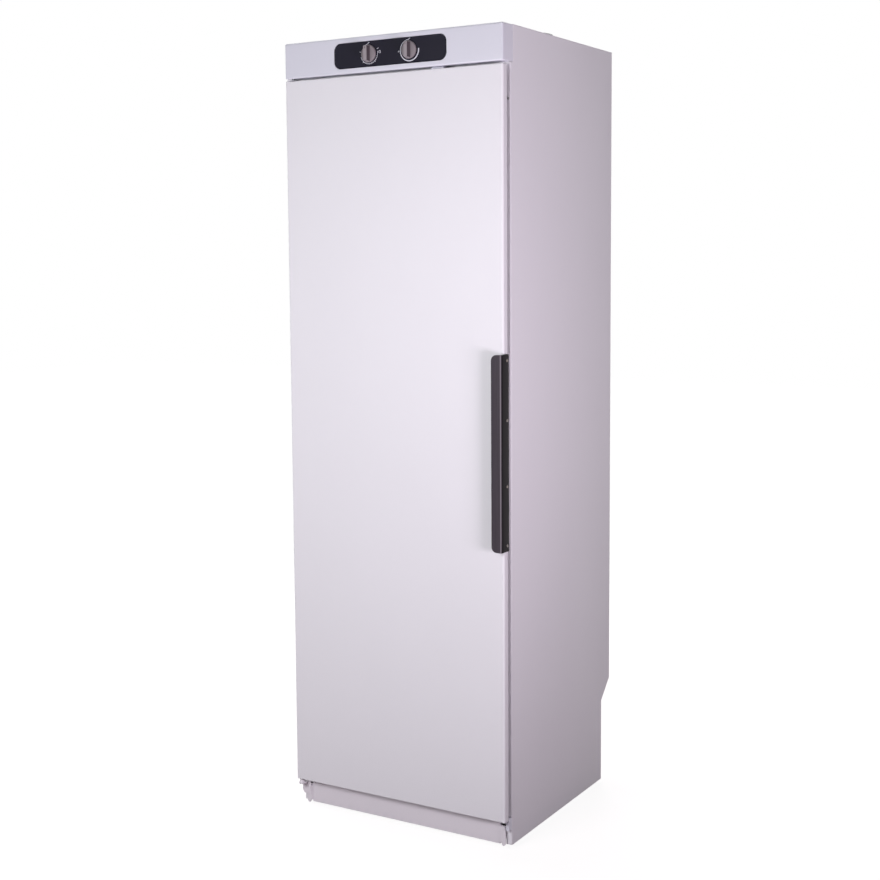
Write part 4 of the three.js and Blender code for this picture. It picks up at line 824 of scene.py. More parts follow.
@dataclass(frozen=True)
class HeatedFinish(Finish):
    """Dark steel that has been hot: straw and blue tints drift over it."""

    straw: Color = (0.32, 0.21, 0.11)
    blue: Color = (0.12, 0.13, 0.2)

    def toned(self, at: Spot) -> Socket:
        """The drifting colour, tinted straw and then blue by broad noise.

        Args:
            at: The spot.

        Returns:
            The colour.
        """
        base, g = super().toned(at), at.g
        cloud = g.noise(at.place, 14, 4, 0.6)
        warm = g.blended(g.span(cloud, 0.45, 0.65, 0, 0.3), base, self.straw)
        return g.blended(g.span(cloud, 0.6, 0.75, 0, 0.35), warm, self.blue)


FINISHES: tuple[Finish, ...] = (
    Finish(Slot.WHITE_PAINT, (0.787, 0.775, 0.815), 0.5, drift=0.03),
    # a darker copy of the white paint for the plinth, legs and lower hinge bracket: painted shade
    # for the low parts under the door
    Finish(Slot.SHADED_PAINT, (0.77, 0.73, 0.78), 0.48, drift=0.05),
    Finish(Slot.WHITE_PLASTIC, (0.70, 0.70, 0.78), 0.34, peel_pitch=0.8, peel_depth=0.006,
           drift=0.02),
    Finish(Slot.BLACK_GLOSS, (0.0128, 0.012, 0.022), 0.3, specular=0.12,
           peel_pitch=0.7, peel_depth=0.004, drift=0.1, smudge=0.1, dust=0.05),
    KnobFinish(Slot.GREY_KNOB, (0.235, 0.205, 0.222), 0.36, specular=0.2, peel_pitch=0.6,
               peel_depth=0.005, smudge=0.1),
    HandleFinish(Slot.DARK_HANDLE, (0.058, 0.05, 0.06), 0.4, specular=0.05,
                 peel_depth=0.015, line_scale=420.0, line_tone=0.2),
    Finish(Slot.GREY_RUBBER, (0.115, 0.105, 0.115), 0.7, peel_pitch=0.6),
    Finish(Slot.BLACK_RUBBER, (0.022, 0.021, 0.023), 0.75, peel_pitch=0.7, dust=0.25),
    ZincFinish(Slot.ZINC_SHEET, (0.44, 0.445, 0.45), 0.46, metallic=0.85, peel_depth=0.012),
    DrawnFinish(Slot.BRIGHT_STEEL, (0.40, 0.395, 0.39), 0.26, metallic=1.0, peel_depth=0.004,
                stretch=(1, 0.02, 1), line_scale=1400.0, line_tone=0.1),
    HeatedFinish(Slot.DARK_STEEL, (0.2, 0.185, 0.175), 0.45, metallic=0.9, peel_pitch=1.2),
    Finish(Slot.BLACK_PLASTIC, (0.014, 0.013, 0.014), 0.5, peel_pitch=0.5, peel_depth=0.01),
)


# ---------------------------------------------------------------------------- assemblies


def placed(name: str, data: bpy.types.ID) -> Object:
    """An object made of its data and linked to the scene.

    Args:
        name: The object's name.
        data: Its mesh, lamp or camera.

    Returns:
        The object, at the origin.
    """
    made = bpy.data.objects.new(name, data)
    bpy.context.scene.collection.objects.link(made)
    return made


@dataclass
class Assembly:
    """A sub-assembly, which turns surfaces and nodes into finished pieces."""

    paints: dict[Slot, bpy.types.Material]
    body: Body = Body.CABINET
    seat_gap: float = 0.3
    sheet: float = 1.2
    sharp: float = 38.0  # edges that turn more than this, in degrees, stay sharp
    weld: float = 0.002  # points of a node nearer than this are one
    flat: float = 0.5  # faces of a node that turn less than this, in degrees, are one

    def piece(self, name: str, shape: Union[Surface, bpy.types.Mesh], slot: Slot,
              replaces: Sequence[str] = (), body: Optional[Body] = None) -> Object:
        """Makes, shades, dresses and mounts a piece, at its place in the frame.

        Args:
            name: The piece's name.
            shape: Its surface in millimetres, or its mesh.
            slot: Its finish.
            replaces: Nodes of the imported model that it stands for.
            body: The body that it rides on, if not the assembly's own.

        Returns:
            The piece.
        """
        mesh = shape.mesh(name) if isinstance(shape, Surface) else shape
        mesh.shade_smooth()
        mesh.set_sharp_from_angle(angle=np.radians(self.sharp))
        mesh.materials.clear()
        mesh.materials.append(self.paints[slot])
        made = placed(name, mesh)
        body = body or self.body
        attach(made, body.value)
        if replaces:
            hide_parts(*replaces)
        log.info("%s: %d faces, %s, on %s", name, len(mesh.polygons), slot.value, body.value)
        return made

    def soften(self, slot: Slot, width: float, *nodes: str) -> None:
        """Replaces nodes by copies with their edges broken by a small bevel.

        Args:
            slot: Their finish.
            width: Width of the bevel in millimetres.
            nodes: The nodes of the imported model.
        """
        for node in nodes:
            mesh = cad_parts[node].data.copy()
            welded = bmesh.new()
            welded.from_mesh(mesh)
            bmesh.ops.remove_doubles(welded, verts=welded.verts, dist=self.weld * MM)
            bmesh.ops.dissolve_limit(welded, angle_limit=np.radians(self.flat),
                                     verts=welded.verts, edges=welded.edges)
            welded.to_mesh(mesh)
            welded.free()
            if "custom_normal" in mesh.attributes:
                mesh.attributes.remove(mesh.attributes["custom_normal"])
            self.bevel(self.piece(node + "_soft", mesh, slot, [node]), width)

    @staticmethod
    def bevel(made: Object, width: float, segments: int = 2, angle: float = 40) -> None:
        """Adds a bevel to a piece.

        Args:
            made: The piece.
            width: Its width in millimetres.
            segments: Its steps.
            angle: It breaks edges that turn more than this, in degrees.
        """
        bevel = made.modifiers.new("broken_edges", "BEVEL")
        bevel.width = width * MM
        bevel.segments = segments
        bevel.limit_method = "ANGLE"
        bevel.angle_limit = np.radians(angle)
        bevel.harden_normals = True

    def dress(self, slot: Slot, *nodes: str) -> None:
        """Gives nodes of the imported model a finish; their meshes stay as they are.

        Args:
            slot: The finish.
            nodes: The nodes.
        """
        for node in nodes:
            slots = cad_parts[node].data.materials
            slots.clear()
            slots.append(self.paints[slot])
            log.info("%s: node kept, %s", node, slot.value)

    def screws(self, name: str, places: Sequence[Numbers], *head: Union[Array, float]) -> None:
        """A set of steel screw heads, as one piece.

        Args:
            name: The piece's name.
            places: The middle of each head's seat.
            head: The axis, radius, height and sides that screw_head() takes.
        """
        heads = [screw_head(place, *head) for place in places]
        self.piece(name, Surface.joined(heads), Slot.BRIGHT_STEEL)


@dataclass
class Door(Assembly):
    """The door: a folded panel, its gasket, handle, screws and the pieces that ride on it."""

    body: Body = Body.DOOR
    side_fold: float = 5.0  # bend radius of the upright edges
    end_fold: float = 2.0  # bend radius of the top and bottom edges
    rear_fold: float = 0.6
    corner: float = 2.0
    face_ring: float = 3.0  # from the fold to the innermost ring of the face
    hem: float = 14.0
    gasket_corner: float = 9.0
    wing: float = 5.0  # thickness of the handle's wing
    wing_corner: float = 13.0
    groove: float = 1.2  # depth of the line along the handle's edge
    groove_from: float = 4.2  # behind the handle's front
    peg_radius: float = 4.0
    peg_lift: float = 1.4  # power by which a peg rises as it stands out
    peg_span: float = 340.0
    pegs: int = 5
    strip: tuple[float, float] = (3.0, 28.0)  # thickness and height

    def build(self) -> None:
        """Builds and dresses every piece of the door."""
        self.panel()
        self.gasket()
        self.handle()
        self.handle_screws()
        self.glove_rack()
        self.soften(Slot.WHITE_PAINT, 0.3, "door_liner")
        self.soften(Slot.WHITE_PLASTIC, 0.4, "door_switch_tab")
        self.bush("upper_hinge_bush", Slot.WHITE_PLASTIC, 1)
        self.bush("lower_hinge_bush", Slot.BLACK_PLASTIC, -1)

    def panel(self) -> None:
        """The folded sheet. At a turn t of the fold, a place on the rim whose outward
        direction is n has moved out by r * sin t and back by r * (1 - cos t), with r going
        smoothly from the side fold to the end fold as n turns from across to up."""
        box = Box.of("door_skin")
        front, back = box.low[1], box.high[1]
        out, away = fillet(8)
        lip = np.radians(np.linspace(15, 90, 4))
        fold = np.array([self.side_fold, self.end_fold])
        insets = stacked([fold + self.face_ring, *(out[:, None] * fold), 0,
                          *(self.rear_fold * (1 - np.cos(lip)))[:, None], self.hem, self.hem,
                          self.sheet, self.sheet], 2)
        radius = np.hypot(*(corner_ways() * fold).T)
        edge = back - self.rear_fold
        depth = stacked([front, *(front + away[:, None] * radius), edge,
                         *(edge + self.rear_fold * np.sin(lip))[:, None], back,
                         back - self.sheet, back - self.sheet,
                         front + self.side_fold + self.sheet], len(radius))
        ring = rounded_rings(*box.front, self.corner, insets)
        self.piece("door_panel", Surface.lofted(upright(ring, depth)), Slot.WHITE_PAINT,
                   ["door_skin"])

    def gasket(self) -> None:
        """A bellows strip: its section of inset and depth runs round a rounded frame."""
        box = Box.of("door_gasket")
        foot, lip = box.low[1], box.high[1]
        section = rounded_path([
            [0.5, foot, 0.4], [14.5, foot, 0.4], [15, foot + 3.4, 0.8], [11.2, foot + 4.2, 0.8],
            [11.2, foot + 5.6, 0.6], [13.8, foot + 7.4, 0.8], [11.2, foot + 9.2, 0.6],
            [11.2, lip - 4.4, 0.6], [14, lip - 3.4, 0.8], [14, lip, 1.2], [1, lip, 1.2],
            [1, lip - 3.4, 0.8], [3.8, lip - 4.4, 0.6], [3.8, foot + 9.2, 0.6],
            [1.2, foot + 7.4, 0.8], [3.8, foot + 5.6, 0.6], [3.8, foot + 4.2, 0.8],
            [0, foot + 3.4, 0.8]], 3)
        ring = rounded_rings(*box.front, self.gasket_corner, section[:, 0])
        surface = Surface.lofted(upright(ring, section[:, 1:]), closed=True)
        self.piece("gasket_bellows", surface, Slot.GREY_RUBBER, ["door_gasket"])

    def handle(self) -> None:
        """An L-shaped bar. Its section is carried upwards; near each end the free edge
        moves in along a quarter circle, by the corner radius times (1 - cos t) at the
        height that the same circle reaches at the turn t."""
        box = Box.of("door_handle")
        (tip, nose, bottom), (face, back, top) = box.low, box.high
        seat = Box.of("door_skin").high[0] + self.seat_gap
        line, wing, cut = nose + self.groove_from, nose + self.wing, face - self.groove
        section = rounded_path([
            [tip, nose, 1], [face, nose, 3], [face, line, 0.3], [cut, line + 0.3, 0.2],
            [cut, line + 2.1, 0.2], [face, line + 2.4, 0.3], [face, back, 0.6],
            [seat, back, 0.3], [seat, wing, 4], [tip, wing, 2]], 6)
        rise, move = (self.wing_corner * share for share in fillet(12))
        heights = np.concatenate([bottom + rise[::-1], top - rise])[:, None]
        moves = np.concatenate([move[::-1], move])[:, None]
        free = section[:, 0] < tip + 3
        rings = xyz(section[:, 0] + free * moves, section[:, 1], heights)
        bar = self.piece("handle_bar", Surface.lofted(rings), Slot.DARK_HANDLE, ["door_handle"])
        self.bevel(bar, 0.8, 3, 60)

    def handle_screws(self) -> None:
        """The handle's four screws, each a shank with a domed head and a cross recess."""
        seat = Box.of("door_handle").high[0] + self.seat_gap
        for number in range(1, 5):
            node = f"handle_screw_{number}"
            box = Box.of(node)
            base, tip = box.middle(0, seat), box.low[0] - seat
            head = screw_head(base, X, box.size[1] / 2, box.high[0] - seat, 32)
            shank = turned([[2, 0.2], [2, tip + 2], [0.6, tip]], base, X, 16)
            self.piece(node + "_domed", Surface.joined([head, shank]), Slot.DARK_STEEL, [node])

    def glove_rack(self) -> None:
        """A rounded strip with pegs that rise as they stand out, by a power of the reach."""
        box = Box.of("glove_rack")
        thick, tall = self.strip
        low, high = box.low[FRONT_VIEW], np.array([box.high[0], box.low[2] + tall])
        y, middle, edge = box.low[1], (low[1] + high[1]) / 2, 0.8
        depth = np.array([[y], [y + edge], [y + thick - edge], [y + thick]])
        ring = rounded_rings(low, high, 8, [edge, 0, 0, edge])
        surfaces = [Surface.lofted(upright(ring, depth))]
        root, end = y + 1, box.high - self.peg_radius
        t = np.linspace(0, 1, 12)
        for x in np.linspace(-self.peg_span / 2, self.peg_span / 2, self.pegs):
            path = xyz(x, root + (end[1] - root) * t, middle + (end[2] - middle) * t**self.peg_lift)
            surfaces.append(tube(path, self.peg_radius, X, 16))
            collar = [[7, 0], [7, 0.8], [6, 1.6], [4.6, 2.4], [4.1, 4]]
            surfaces.append(turned(collar, [x, y + thick - 0.2, middle], Y, 24))
        self.piece("glove_pegs", Surface.joined(surfaces), Slot.WHITE_PLASTIC, ["glove_rack"])

    def bush(self, node: str, slot: Slot, up: int) -> None:
        """A flanged bush at a hinge pin, as a ring with a softened collar.

        Args:
            node: Its node.
            slot: Its finish.
            up: 1 if its flange is at the top, -1 if at the bottom.
        """
        box = Box.of(node)
        outer, long = box.size[0] / 2, box.size[2]
        ring = rounded_path([[4.3, 0, 0.3], [outer, 0, 0.5], [outer, -1.3, 0.3],
                             [5.5, -1.3, 0.3], [5.5, -long, 0.3], [4.3, -long, 0.3]], 3)
        base = box.middle(2, (box.high if up > 0 else box.low)[2])
        surface = turned(ring, base, up * Z, 32, closed=True)
        self.piece(node + "_turned", surface, slot, [node])


@dataclass
class ControlPanel(Assembly):
    """The moulded panel with its dark insert, two knobs and their printed marks."""

    side_edge: float = 4.0
    lower_edge: float = 1.5
    face_ring: float = 3.0  # from the edge to the innermost ring of the face
    window_edge: float = 0.6
    corner: float = 4.0
    wall: float = 2.5
    top_drop: float = 0.6
    roof_share: float = 0.7  # of the panel's depth, over which its top rises
    lip: float = 1.2  # the face reaches this far below its sill
    sill_depth: float = 31.0
    insert_corner: float = 17.5
    insert_half: float = 153.0
    insert_height: float = 59.0
    rim: float = 1.3  # raised edge round the insert
    proud: float = 0.5  # how far it stands in front of the insert's flat face
    ink: float = 0.12  # thickness of a printed mark
    knob_radius: float = 19.7
    skirt: float = 4.6
    grip_width: float = 11.4
    grip_short: float = 1.5  # from the grip's ends to the skirt's edge
    ring: float = 22.9  # radius of the marks round a knob

    def build(self) -> None:
        """Builds the housing, the insert, the knobs and the marks."""
        self.box = Box.of("control_panel")
        self.plate = Box.of("control_fascia")
        self.housing()
        self.insert()
        self.knob("timer", Body.TIMER_DIAL)
        self.knob("thermostat", Body.THERMOSTAT_DIAL)
        self.marks()

    def window(self, insets: Numbers) -> Array:
        """Rings of the insert's outline, set in by the given amounts."""
        half, middle = np.array([[self.insert_half, self.insert_height / 2],
                                 [0, self.plate.centre[2]]])
        return rounded_rings(middle - half, middle + half, self.insert_corner, insets)

    def housing(self) -> None:
        """The moulding, from the window's inner rim out over the face, round the folded
        edge and back inside. The fold is the door panel's, with its radius going from the
        side edge to the lower edge, and the top rises by its drop from front to rear."""
        front, back = self.box.low[1], self.box.high[1]
        low, high = self.box.front
        out, away = fillet(8)
        edge, wall, slope = self.side_edge, self.wall, self.roof_share * (back - front)
        insets = [edge + self.face_ring, *(out * edge), 0, 0, wall, wall, edge + wall]
        ring = rounded_rings(low - [0, self.lip], high - [0, self.top_drop], self.corner, insets)
        outward = corner_ways()
        lower = np.clip(-outward[:, 1], 0, 1)
        radius = edge + (self.lower_edge - edge) * lower
        end = np.where(lower > 0.5, front + self.sill_depth, back)
        depth = stacked([front, *(front + away[:, None] * radius),
                         np.minimum(front + slope, end), end, end, front + wall + 1.5,
                         front + wall], len(radius))
        climb = np.clip((depth - front) / slope, 0, 1) * self.top_drop
        ring[..., 1] += np.where(outward[:, 1] > 0.05, climb, 0)
        gap, bevel = self.seat_gap, self.window_edge
        inner = upright(self.window([-gap, -gap, -gap - bevel]),
                        np.array([[front + wall], [front + bevel], [front]]))
        surface = Surface.lofted(np.concatenate([inner, upright(ring, depth)]), closed=True)
        self.piece("panel_housing", surface, Slot.WHITE_PLASTIC, ["control_panel"])

    def insert(self) -> None:
        """The dark plate: a rounded rim stands proud of a flat face, and a wider lip
        behind holds it in the panel's window."""
        rim, face, lip = self.rim, self.plate.low[1], self.plate.high[1]
        flat, foot = face + self.proud, lip - 1.2
        section = np.array([
            [rim + 3, flat], [rim + 0.6, flat], [rim, face + 0.1], [rim * 0.6, face],
            [0.3, face + 0.08], [0, face + 0.5], [0, foot], [-5, foot], [-5, lip]])
        surface = Surface.lofted(upright(self.window(section[:, 0]), section[:, 1:]))
        self.piece("dark_insert", surface, Slot.BLACK_GLOSS, ["control_fascia"])

    def knob(self, name: str, body: Body) -> None:
        """A turned skirt and a grip bar with a softened top; going up, the bar's outline
        is set in by the fillet, the draft and then the rounding of its top edge.

        Args:
            name: The knob's name.
            body: The dial that it rides on.
        """
        node = name + "_knob"
        box = Box.of(node)
        seat, nose = box.high[1], box.low[1]
        hub, low, wide = box.centre[FRONT_VIEW], self.skirt, self.knob_radius
        profile = rounded_path([
            [wide - 0.8, 0, 0], [wide, 0, 0.4], [wide, low - 2, 1.2], [wide - 1.8, low, 1.5],
            [2, low + 0.7, 0]], 5)
        skirt = turned(profile, box.middle(1, seat), -Y, 72)
        fall, inward = fillet(6)
        level = [low - 0.3, low + 0.4, low + 1.4, low + 3.2, *(seat - nose - fall), seat - nose]
        inset = [-2.2, -0.9, -0.1, 0.3, *(0.7 + inward), 2.2]
        rings = hub + np.stack([self.grip_outline(depth) for depth in inset])
        grip = Surface.lofted(upright(rings, seat - np.array(level)[:, None]))
        self.piece(name + "_dial_knob", Surface.joined([skirt, grip]), Slot.GREY_KNOB, [node],
                   body)
        # a dark pointer on the grip's top end; it also stands for the shadow there, so it is partly
        # painted shadow
        notch = [hub + [0, wide - reach] for reach in (9.5, 4.9)]
        pointer = self.bar(*notch, 1.3, (nose - 0.05, nose + 0.4))
        self.piece(name + "_pointer", pointer, Slot.BLACK_PLASTIC, body=body)

    def grip_outline(self, inset: float) -> Array:
        """The grip's outline: a bar with ends that follow the skirt. Its corners are cut
        a few times over: each side gives a point at a quarter and at three quarters of it.

        Args:
            inset: How far it is set in all round.

        Returns:
            Its points about the hub, (n, 2).
        """
        half, end = self.grip_width / 2 - inset, self.knob_radius - self.grip_short - inset
        flank = np.degrees(np.arcsin(half / end))
        line = np.concatenate([arc((0, 0), end, middle - flank, middle + flank, 14)
                               for middle in (90, 270)])
        for _ in range(3):
            after = np.roll(line, -1, axis=0)
            pair = [0.75 * line + 0.25 * after, 0.25 * line + 0.75 * after]
            line = np.stack(pair, axis=1).reshape(-1, 2)
        return line

    def marks(self) -> None:
        """Generic printed marks: a ring with ticks and a small clock round the timer, a
        growing arc and a star round the thermostat, and a start stroke over each."""
        back = self.plate.low[1] + self.proud
        depth = (back - self.ink, back)
        ring = self.ring
        hub = Box.of("timer_knob").centre[FRONT_VIEW]
        clock = hub + [29.2, 2.5]
        timer = [self.band(hub, (196, 372), (ring, ring), (ring + 0.8, ring + 0.8), depth)]
        timer += [self.stroke(hub, angle, ring - 2, ring + 0.2, 0.8, depth)
                  for angle in np.linspace(202, 346, 13)]
        timer += [self.stroke(hub, angle, ring + 0.6, ring + reach, 1.0, depth)
                  for angle, reach in ((167, 4.2), (228, 3.4), (312, 3.4), (24, 5.5))]
        timer.append(self.bar(hub + [-9.9, 19.8], hub + [0.8, 25.9], 1.2, depth))
        timer.append(self.band(clock, (0, 359.9), (2.5, 2.5), (3.2, 3.2), depth))
        timer += [self.stroke(clock, angle, 0, 1.7, 0.6, depth) for angle in (90, 0)]
        self.piece("timer_marks", Surface.joined(timer), Slot.WHITE_PLASTIC)
        hub = Box.of("thermostat_knob").centre[FRONT_VIEW]
        star = hub + [-28.6, -1.4]
        warm = [self.band(hub, (100, 365), (ring + 1, ring + 0.3), (ring + 2, ring + 3.2), depth),
                self.bar(hub + [-4.6, 22.6], hub + [1.8, 26.8], 1.2, depth)]
        warm += [self.stroke(star, angle, -2.3, 2.3, 0.7, depth) for angle in (30, 90, 150)]
        self.piece("thermostat_marks", Surface.joined(warm), Slot.WHITE_PLASTIC)

    @staticmethod
    def band(hub: Array, turn: Numbers, inner: Numbers, outer: Numbers,
             depth: Numbers) -> Surface:
        """A printed band round a hub.

        Args:
            hub: Its middle, as x and z.
            turn: The angles where it starts and ends.
            inner: Its inner radius at the start and at the end.
            outer: Its outer radius at the start and at the end.
            depth: The depths of its front and back.

        Returns:
            Its surface.
        """
        steps = 60
        ray = spokes(np.linspace(*turn, steps))
        near, far = (np.linspace(*radii, steps)[:, None] for radii in (inner, outer))
        return ribbon(hub + near * ray, hub + far * ray, *depth)

    def stroke(self, hub: Array, angle: float, start: float, end: float, width: float,
               depth: Numbers) -> Surface:
        """A bar that points away from a hub, from one radius to another."""
        way = spokes(angle)
        return self.bar(hub + start * way, hub + end * way, width, depth)

    @staticmethod
    def bar(first: Array, last: Array, width: float, depth: Numbers) -> Surface:
        """A printed bar between two places of the front view.

        Args:
            first: Where it starts.
            last: Where it ends.
            width: Its width.
            depth: The depths of its front and back.

        Returns:
            Its surface.
        """
        way = (last - first) / np.linalg.norm(last - first)
        across = np.array([-way[1], way[0]]) * width / 2
        line = np.stack([first, last])
        return ribbon(line - across, line + across, *depth)


@dataclass
class Casing(Assembly):
    """Side panels, roof, rear panels, rails, plinth, legs and feet."""

    front_bend: float = 3.5
    rear_bend: float = 2.5
    flange: float = 27.0
    foot_flange: float = 15.0  # the flange beside the legs
    rail_bottom: float = 58.0
    notch_depth: float = 50.0
    notch_low: float = 222.0
    notch_high: float = 272.0
    rest_setback: float = 6.0  # of the rest block's front from its node's
    rest_edge: float = 1.2

    def build(self) -> None:
        """Builds and dresses the casing."""
        for side in Side:
            self.side_panel(side)
        self.soften(Slot.WHITE_PAINT, 0.5, "top_panel")
        self.soften(Slot.ZINC_SHEET, 0.3, "rear_panel", "rear_kick_panel")
        self.soften(Slot.WHITE_PAINT, 0.35, "front_bottom_rail", "front_header_rail")
        self.soften(Slot.SHADED_PAINT, 0.5, "plinth", "left_leg_bracket", "right_leg_bracket")
        self.soften(Slot.WHITE_PAINT, 0.4, "upper_hinge_bracket")
        self.soften(Slot.SHADED_PAINT, 0.4, "lower_hinge_bracket")
        self.soften(Slot.ZINC_SHEET, 0.3, "base_pan")
        self.dress(Slot.BLACK_PLASTIC, "door_switch")
        self.feet()
        self.rest_block()
        self.buttons()
        self.rear_screws()

    def side_panel(self, side: Side) -> None:
        """A folded tray. Seen from above, its section runs along the front flange, round
        the bend, along the side and round into the rear hem, with the sheet's thickness
        inside it. Going up, the rear end follows the skirting recess, the flange widens
        above the leg, and over the door the front steps back behind the panel's cheek.

        Args:
            side: Which side.
        """
        node = f"{side.name.lower()}_side_panel"
        box = Box.of(node)
        face = max(abs(box.low[0]), abs(box.high[0]))
        (front, bottom), (rear, top) = box.low[1:], box.high[1:]
        step = Box.of("control_panel").low[2] - self.seat_gap
        cheek = Box.of("top_panel").low[1]
        foot, inner, notch = face - self.foot_flange, face - self.flange, rear - self.notch_depth
        rings = []
        for level, flange, nose, tail in (
                (bottom, foot, front, notch), (self.rail_bottom, foot, front, notch),
                (self.rail_bottom, inner, front, notch), (self.notch_low, inner, front, notch),
                (self.notch_high, inner, front, rear), (step, inner, front, rear),
                (step, inner, cheek, rear), (top, inner, cheek, rear)):
            lines = [self.tray_line((flange, nose), (inner, tail), face, depth)
                     for depth in (0, self.sheet)]
            x, y = np.concatenate([lines[0], lines[1][::-1]]).T
            rings.append(xyz(side.value * x, y, level))
        made = self.piece(node + "_folded", Surface.lofted(np.stack(rings)), Slot.WHITE_PAINT,
                          [node])
        self.bevel(made, 0.3, 2, 60)

    def tray_line(self, start: Numbers, end: Numbers, face: float, depth: float) -> Array:
        """The tray's line in plan, moved in by a depth; the bends keep one centre.

        Args:
            start: The flange's free edge, as x and y.
            end: The rear hem's free edge.
            face: x of the side.
            depth: How far inside the outer face the line runs.

        Returns:
            Points in plan, (n, 2).
        """
        (flange, nose), (hem, tail) = start, end
        front, rear = self.front_bend, self.rear_bend
        return np.concatenate([
            [[flange, nose + depth]], arc((face - front, nose + front), front - depth, -90, 0, 8),
            arc((face - rear, tail - rear), rear - depth, 0, 90, 4), [[hem, tail - depth]]])

    def feet(self) -> None:
        """Levelling feet: a rubber pad under a zinc hexagon and its stud."""
        for node in (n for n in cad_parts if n.startswith("levelling_foot")):
            box = Box.of(node)
            base, height = box.middle(2, 0), box.high[2]
            pad = rounded_path([[3, 0, 0], [13, 0, 1.2], [13, 4, 1.2], [8.6, 7.5, 1],
                                [6, 7.5, 0]], 4)
            self.piece(node + "_pad", turned(pad, base, Z, 48), Slot.BLACK_RUBBER, [node])
            hexagon = turned([[6.6, 7.3], [8, 8.1], [8, 15.4], [6.6, 16.2]], base, Z, 6)
            stud = turned([[5, 14], [5, height - 1], [4, height]], base, Z, 24)
            self.piece(node + "_stud", Surface.joined([hexagon, stud]), Slot.ZINC_SHEET)

    def rest_block(self) -> None:
        """The small block that the closed door rests on, with a rounded front: its outline
        grows from the inset front ring to the full one over the edge's radius."""
        box, edge = Box.of("door_rest_block"), self.rest_edge
        out, away = fillet(4)
        low, high = box.front
        ring = rounded_rings(low + [edge, 0], high, 2.5, [*(edge * out), 0])
        depth = np.append(box.low[1] + self.rest_setback + edge * away, box.high[1])
        surface = Surface.lofted(upright(ring, depth[:, None]))
        self.piece("rest_block_moulded", surface, Slot.WHITE_PLASTIC, ["door_rest_block"])

    def buttons(self) -> None:
        """The plug in the flange and the door switch's plunger, as domed pins whose
        profiles are given by radius and by height from the seat or from the tip."""
        plug, plunger = Box.of("flange_plug"), Box.of("door_switch_plunger")
        long = plug.size[1]
        pin = [[1.2, 0], [2, 1], [2, long - 1], [3, long - 1], [2.8, long - 0.4], [1.6, long]]
        self.piece("flange_plug_domed", turned(pin, plug.middle(1, plug.high[1]), -Y, 24),
                   Slot.ZINC_SHEET, ["flange_plug"])
        long = plunger.size[1]
        pin = [[1.6, 0], [1.9, 0.4], [1.9, long - 0.9], [1.5, long - 0.3], [0.8, long]]
        self.piece("switch_plunger_pin", turned(pin, plunger.middle(1, plunger.high[1]), -Y, 24),
                   Slot.WHITE_PLASTIC, ["door_switch_plunger"], Body.SWITCH_BUTTON)

    def rear_screws(self) -> None:
        """Low screw heads along the edges of the rear panels: a column down each side and
        a row along the top and the bottom, each with its own inset and end gap."""
        side_inset, side_end, row_inset, row_end = 9, 20, 8, 110
        rear = Box.of("rear_panel")
        (left, _, low), (right, y, high) = rear.low, rear.high
        places = [(x, y, z) for x in (left + side_inset, right - side_inset)
                  for z in np.linspace(low + side_end, high - side_end, 6)]
        places += [(x, y, z) for x in np.linspace(left + row_end, right - row_end, 4)
                   for z in (low + row_inset, high - row_inset)]
        self.screws("rear_screws", places, Y, 3.6, 0.3, 24)


@dataclass
class Chamber(Assembly):
    """The drying chamber: its linings, floor and ceiling, and the hanger racks."""

    rod: float = 3.5
    prong: float = 3.0
    prongs: int = 7
    pitch: float = 75.0
    tip_bend: float = 12.0
    straight: float = 60.0  # from a prong's tip to the end of its straight part
    rod_drop: float = 0.2  # of the rod below its seat in the bracket
    bracket_sheet: float = 2.0
    screw_drop: float = 7.0

    def build(self) -> None:
        """Builds and dresses the chamber and its racks."""
        self.soften(Slot.WHITE_PAINT, 0.3, "left_liner", "right_liner", "back_liner",
                    "chamber_floor", "ceiling_panel")
        for name, body in (("top", Body.CABINET), ("mid", Body.RACK_MID), ("low", Body.RACK_LOW)):
            self.rack(f"hanger_rack_{name}", body)
            self.soften(Slot.ZINC_SHEET, 0.5, f"rack_bracket_{name}")
            self.bracket_screws(f"rack_bracket_{name}")

    def bracket_screws(self, node: str) -> None:
        """The screws, between the prongs, that hold a bracket's plate to the lining.

        Args:
            node: The bracket's node.
        """
        _, y, z = Box.of(node).high - [0, self.bracket_sheet, self.screw_drop]
        across = self.pitch * np.array([-2.5, -0.5, 0.5, 2.5])
        self.screws(node + "_screws", xyz(across, y, z), -Y, 4, 1.8, 28)

    def rack(self, node: str, body: Body) -> None:
        """A rod across the rear with prongs that run forward and turn up at their tips.

        A prong goes straight to the bend, round a quarter circle in the plane square to
        the rod, and up to its tip.

        Args:
            node: The rack's node.
            body: The body that it rides on.
        """
        box = Box.of(node)
        pivot, level = box.high[1] - self.rod, box.low[2] + self.rod - self.rod_drop
        tip, top = box.low[1] + self.prong, box.high[2] - self.prong
        rod = xyz(np.array([box.low[0] + 2, 0, box.high[0] - 2]), pivot, level)
        bend = arc((tip + self.tip_bend, level + self.tip_bend), self.tip_bend, -90, -180, 10)
        straight = [[pivot, level], [tip + self.straight, level]]
        y, z = np.concatenate([straight, bend, [[tip, top]]]).T
        weld = np.array([[0, 0], [1, 1.2], [0.8, 3], [0.1, 6]]) + [self.prong, 0]
        surfaces = [tube(rod, self.rod, Z, 18)]
        for k in range(self.prongs):
            x = (k - (self.prongs - 1) / 2) * self.pitch
            surfaces.append(tube(xyz(x, y, z), self.prong, X, 14))
            surfaces.append(turned(weld, [x, pivot - self.rod + 1, level], -Y, 18))
        self.piece(node + "_wire", Surface.joined(surfaces), Slot.BRIGHT_STEEL, [node], body)


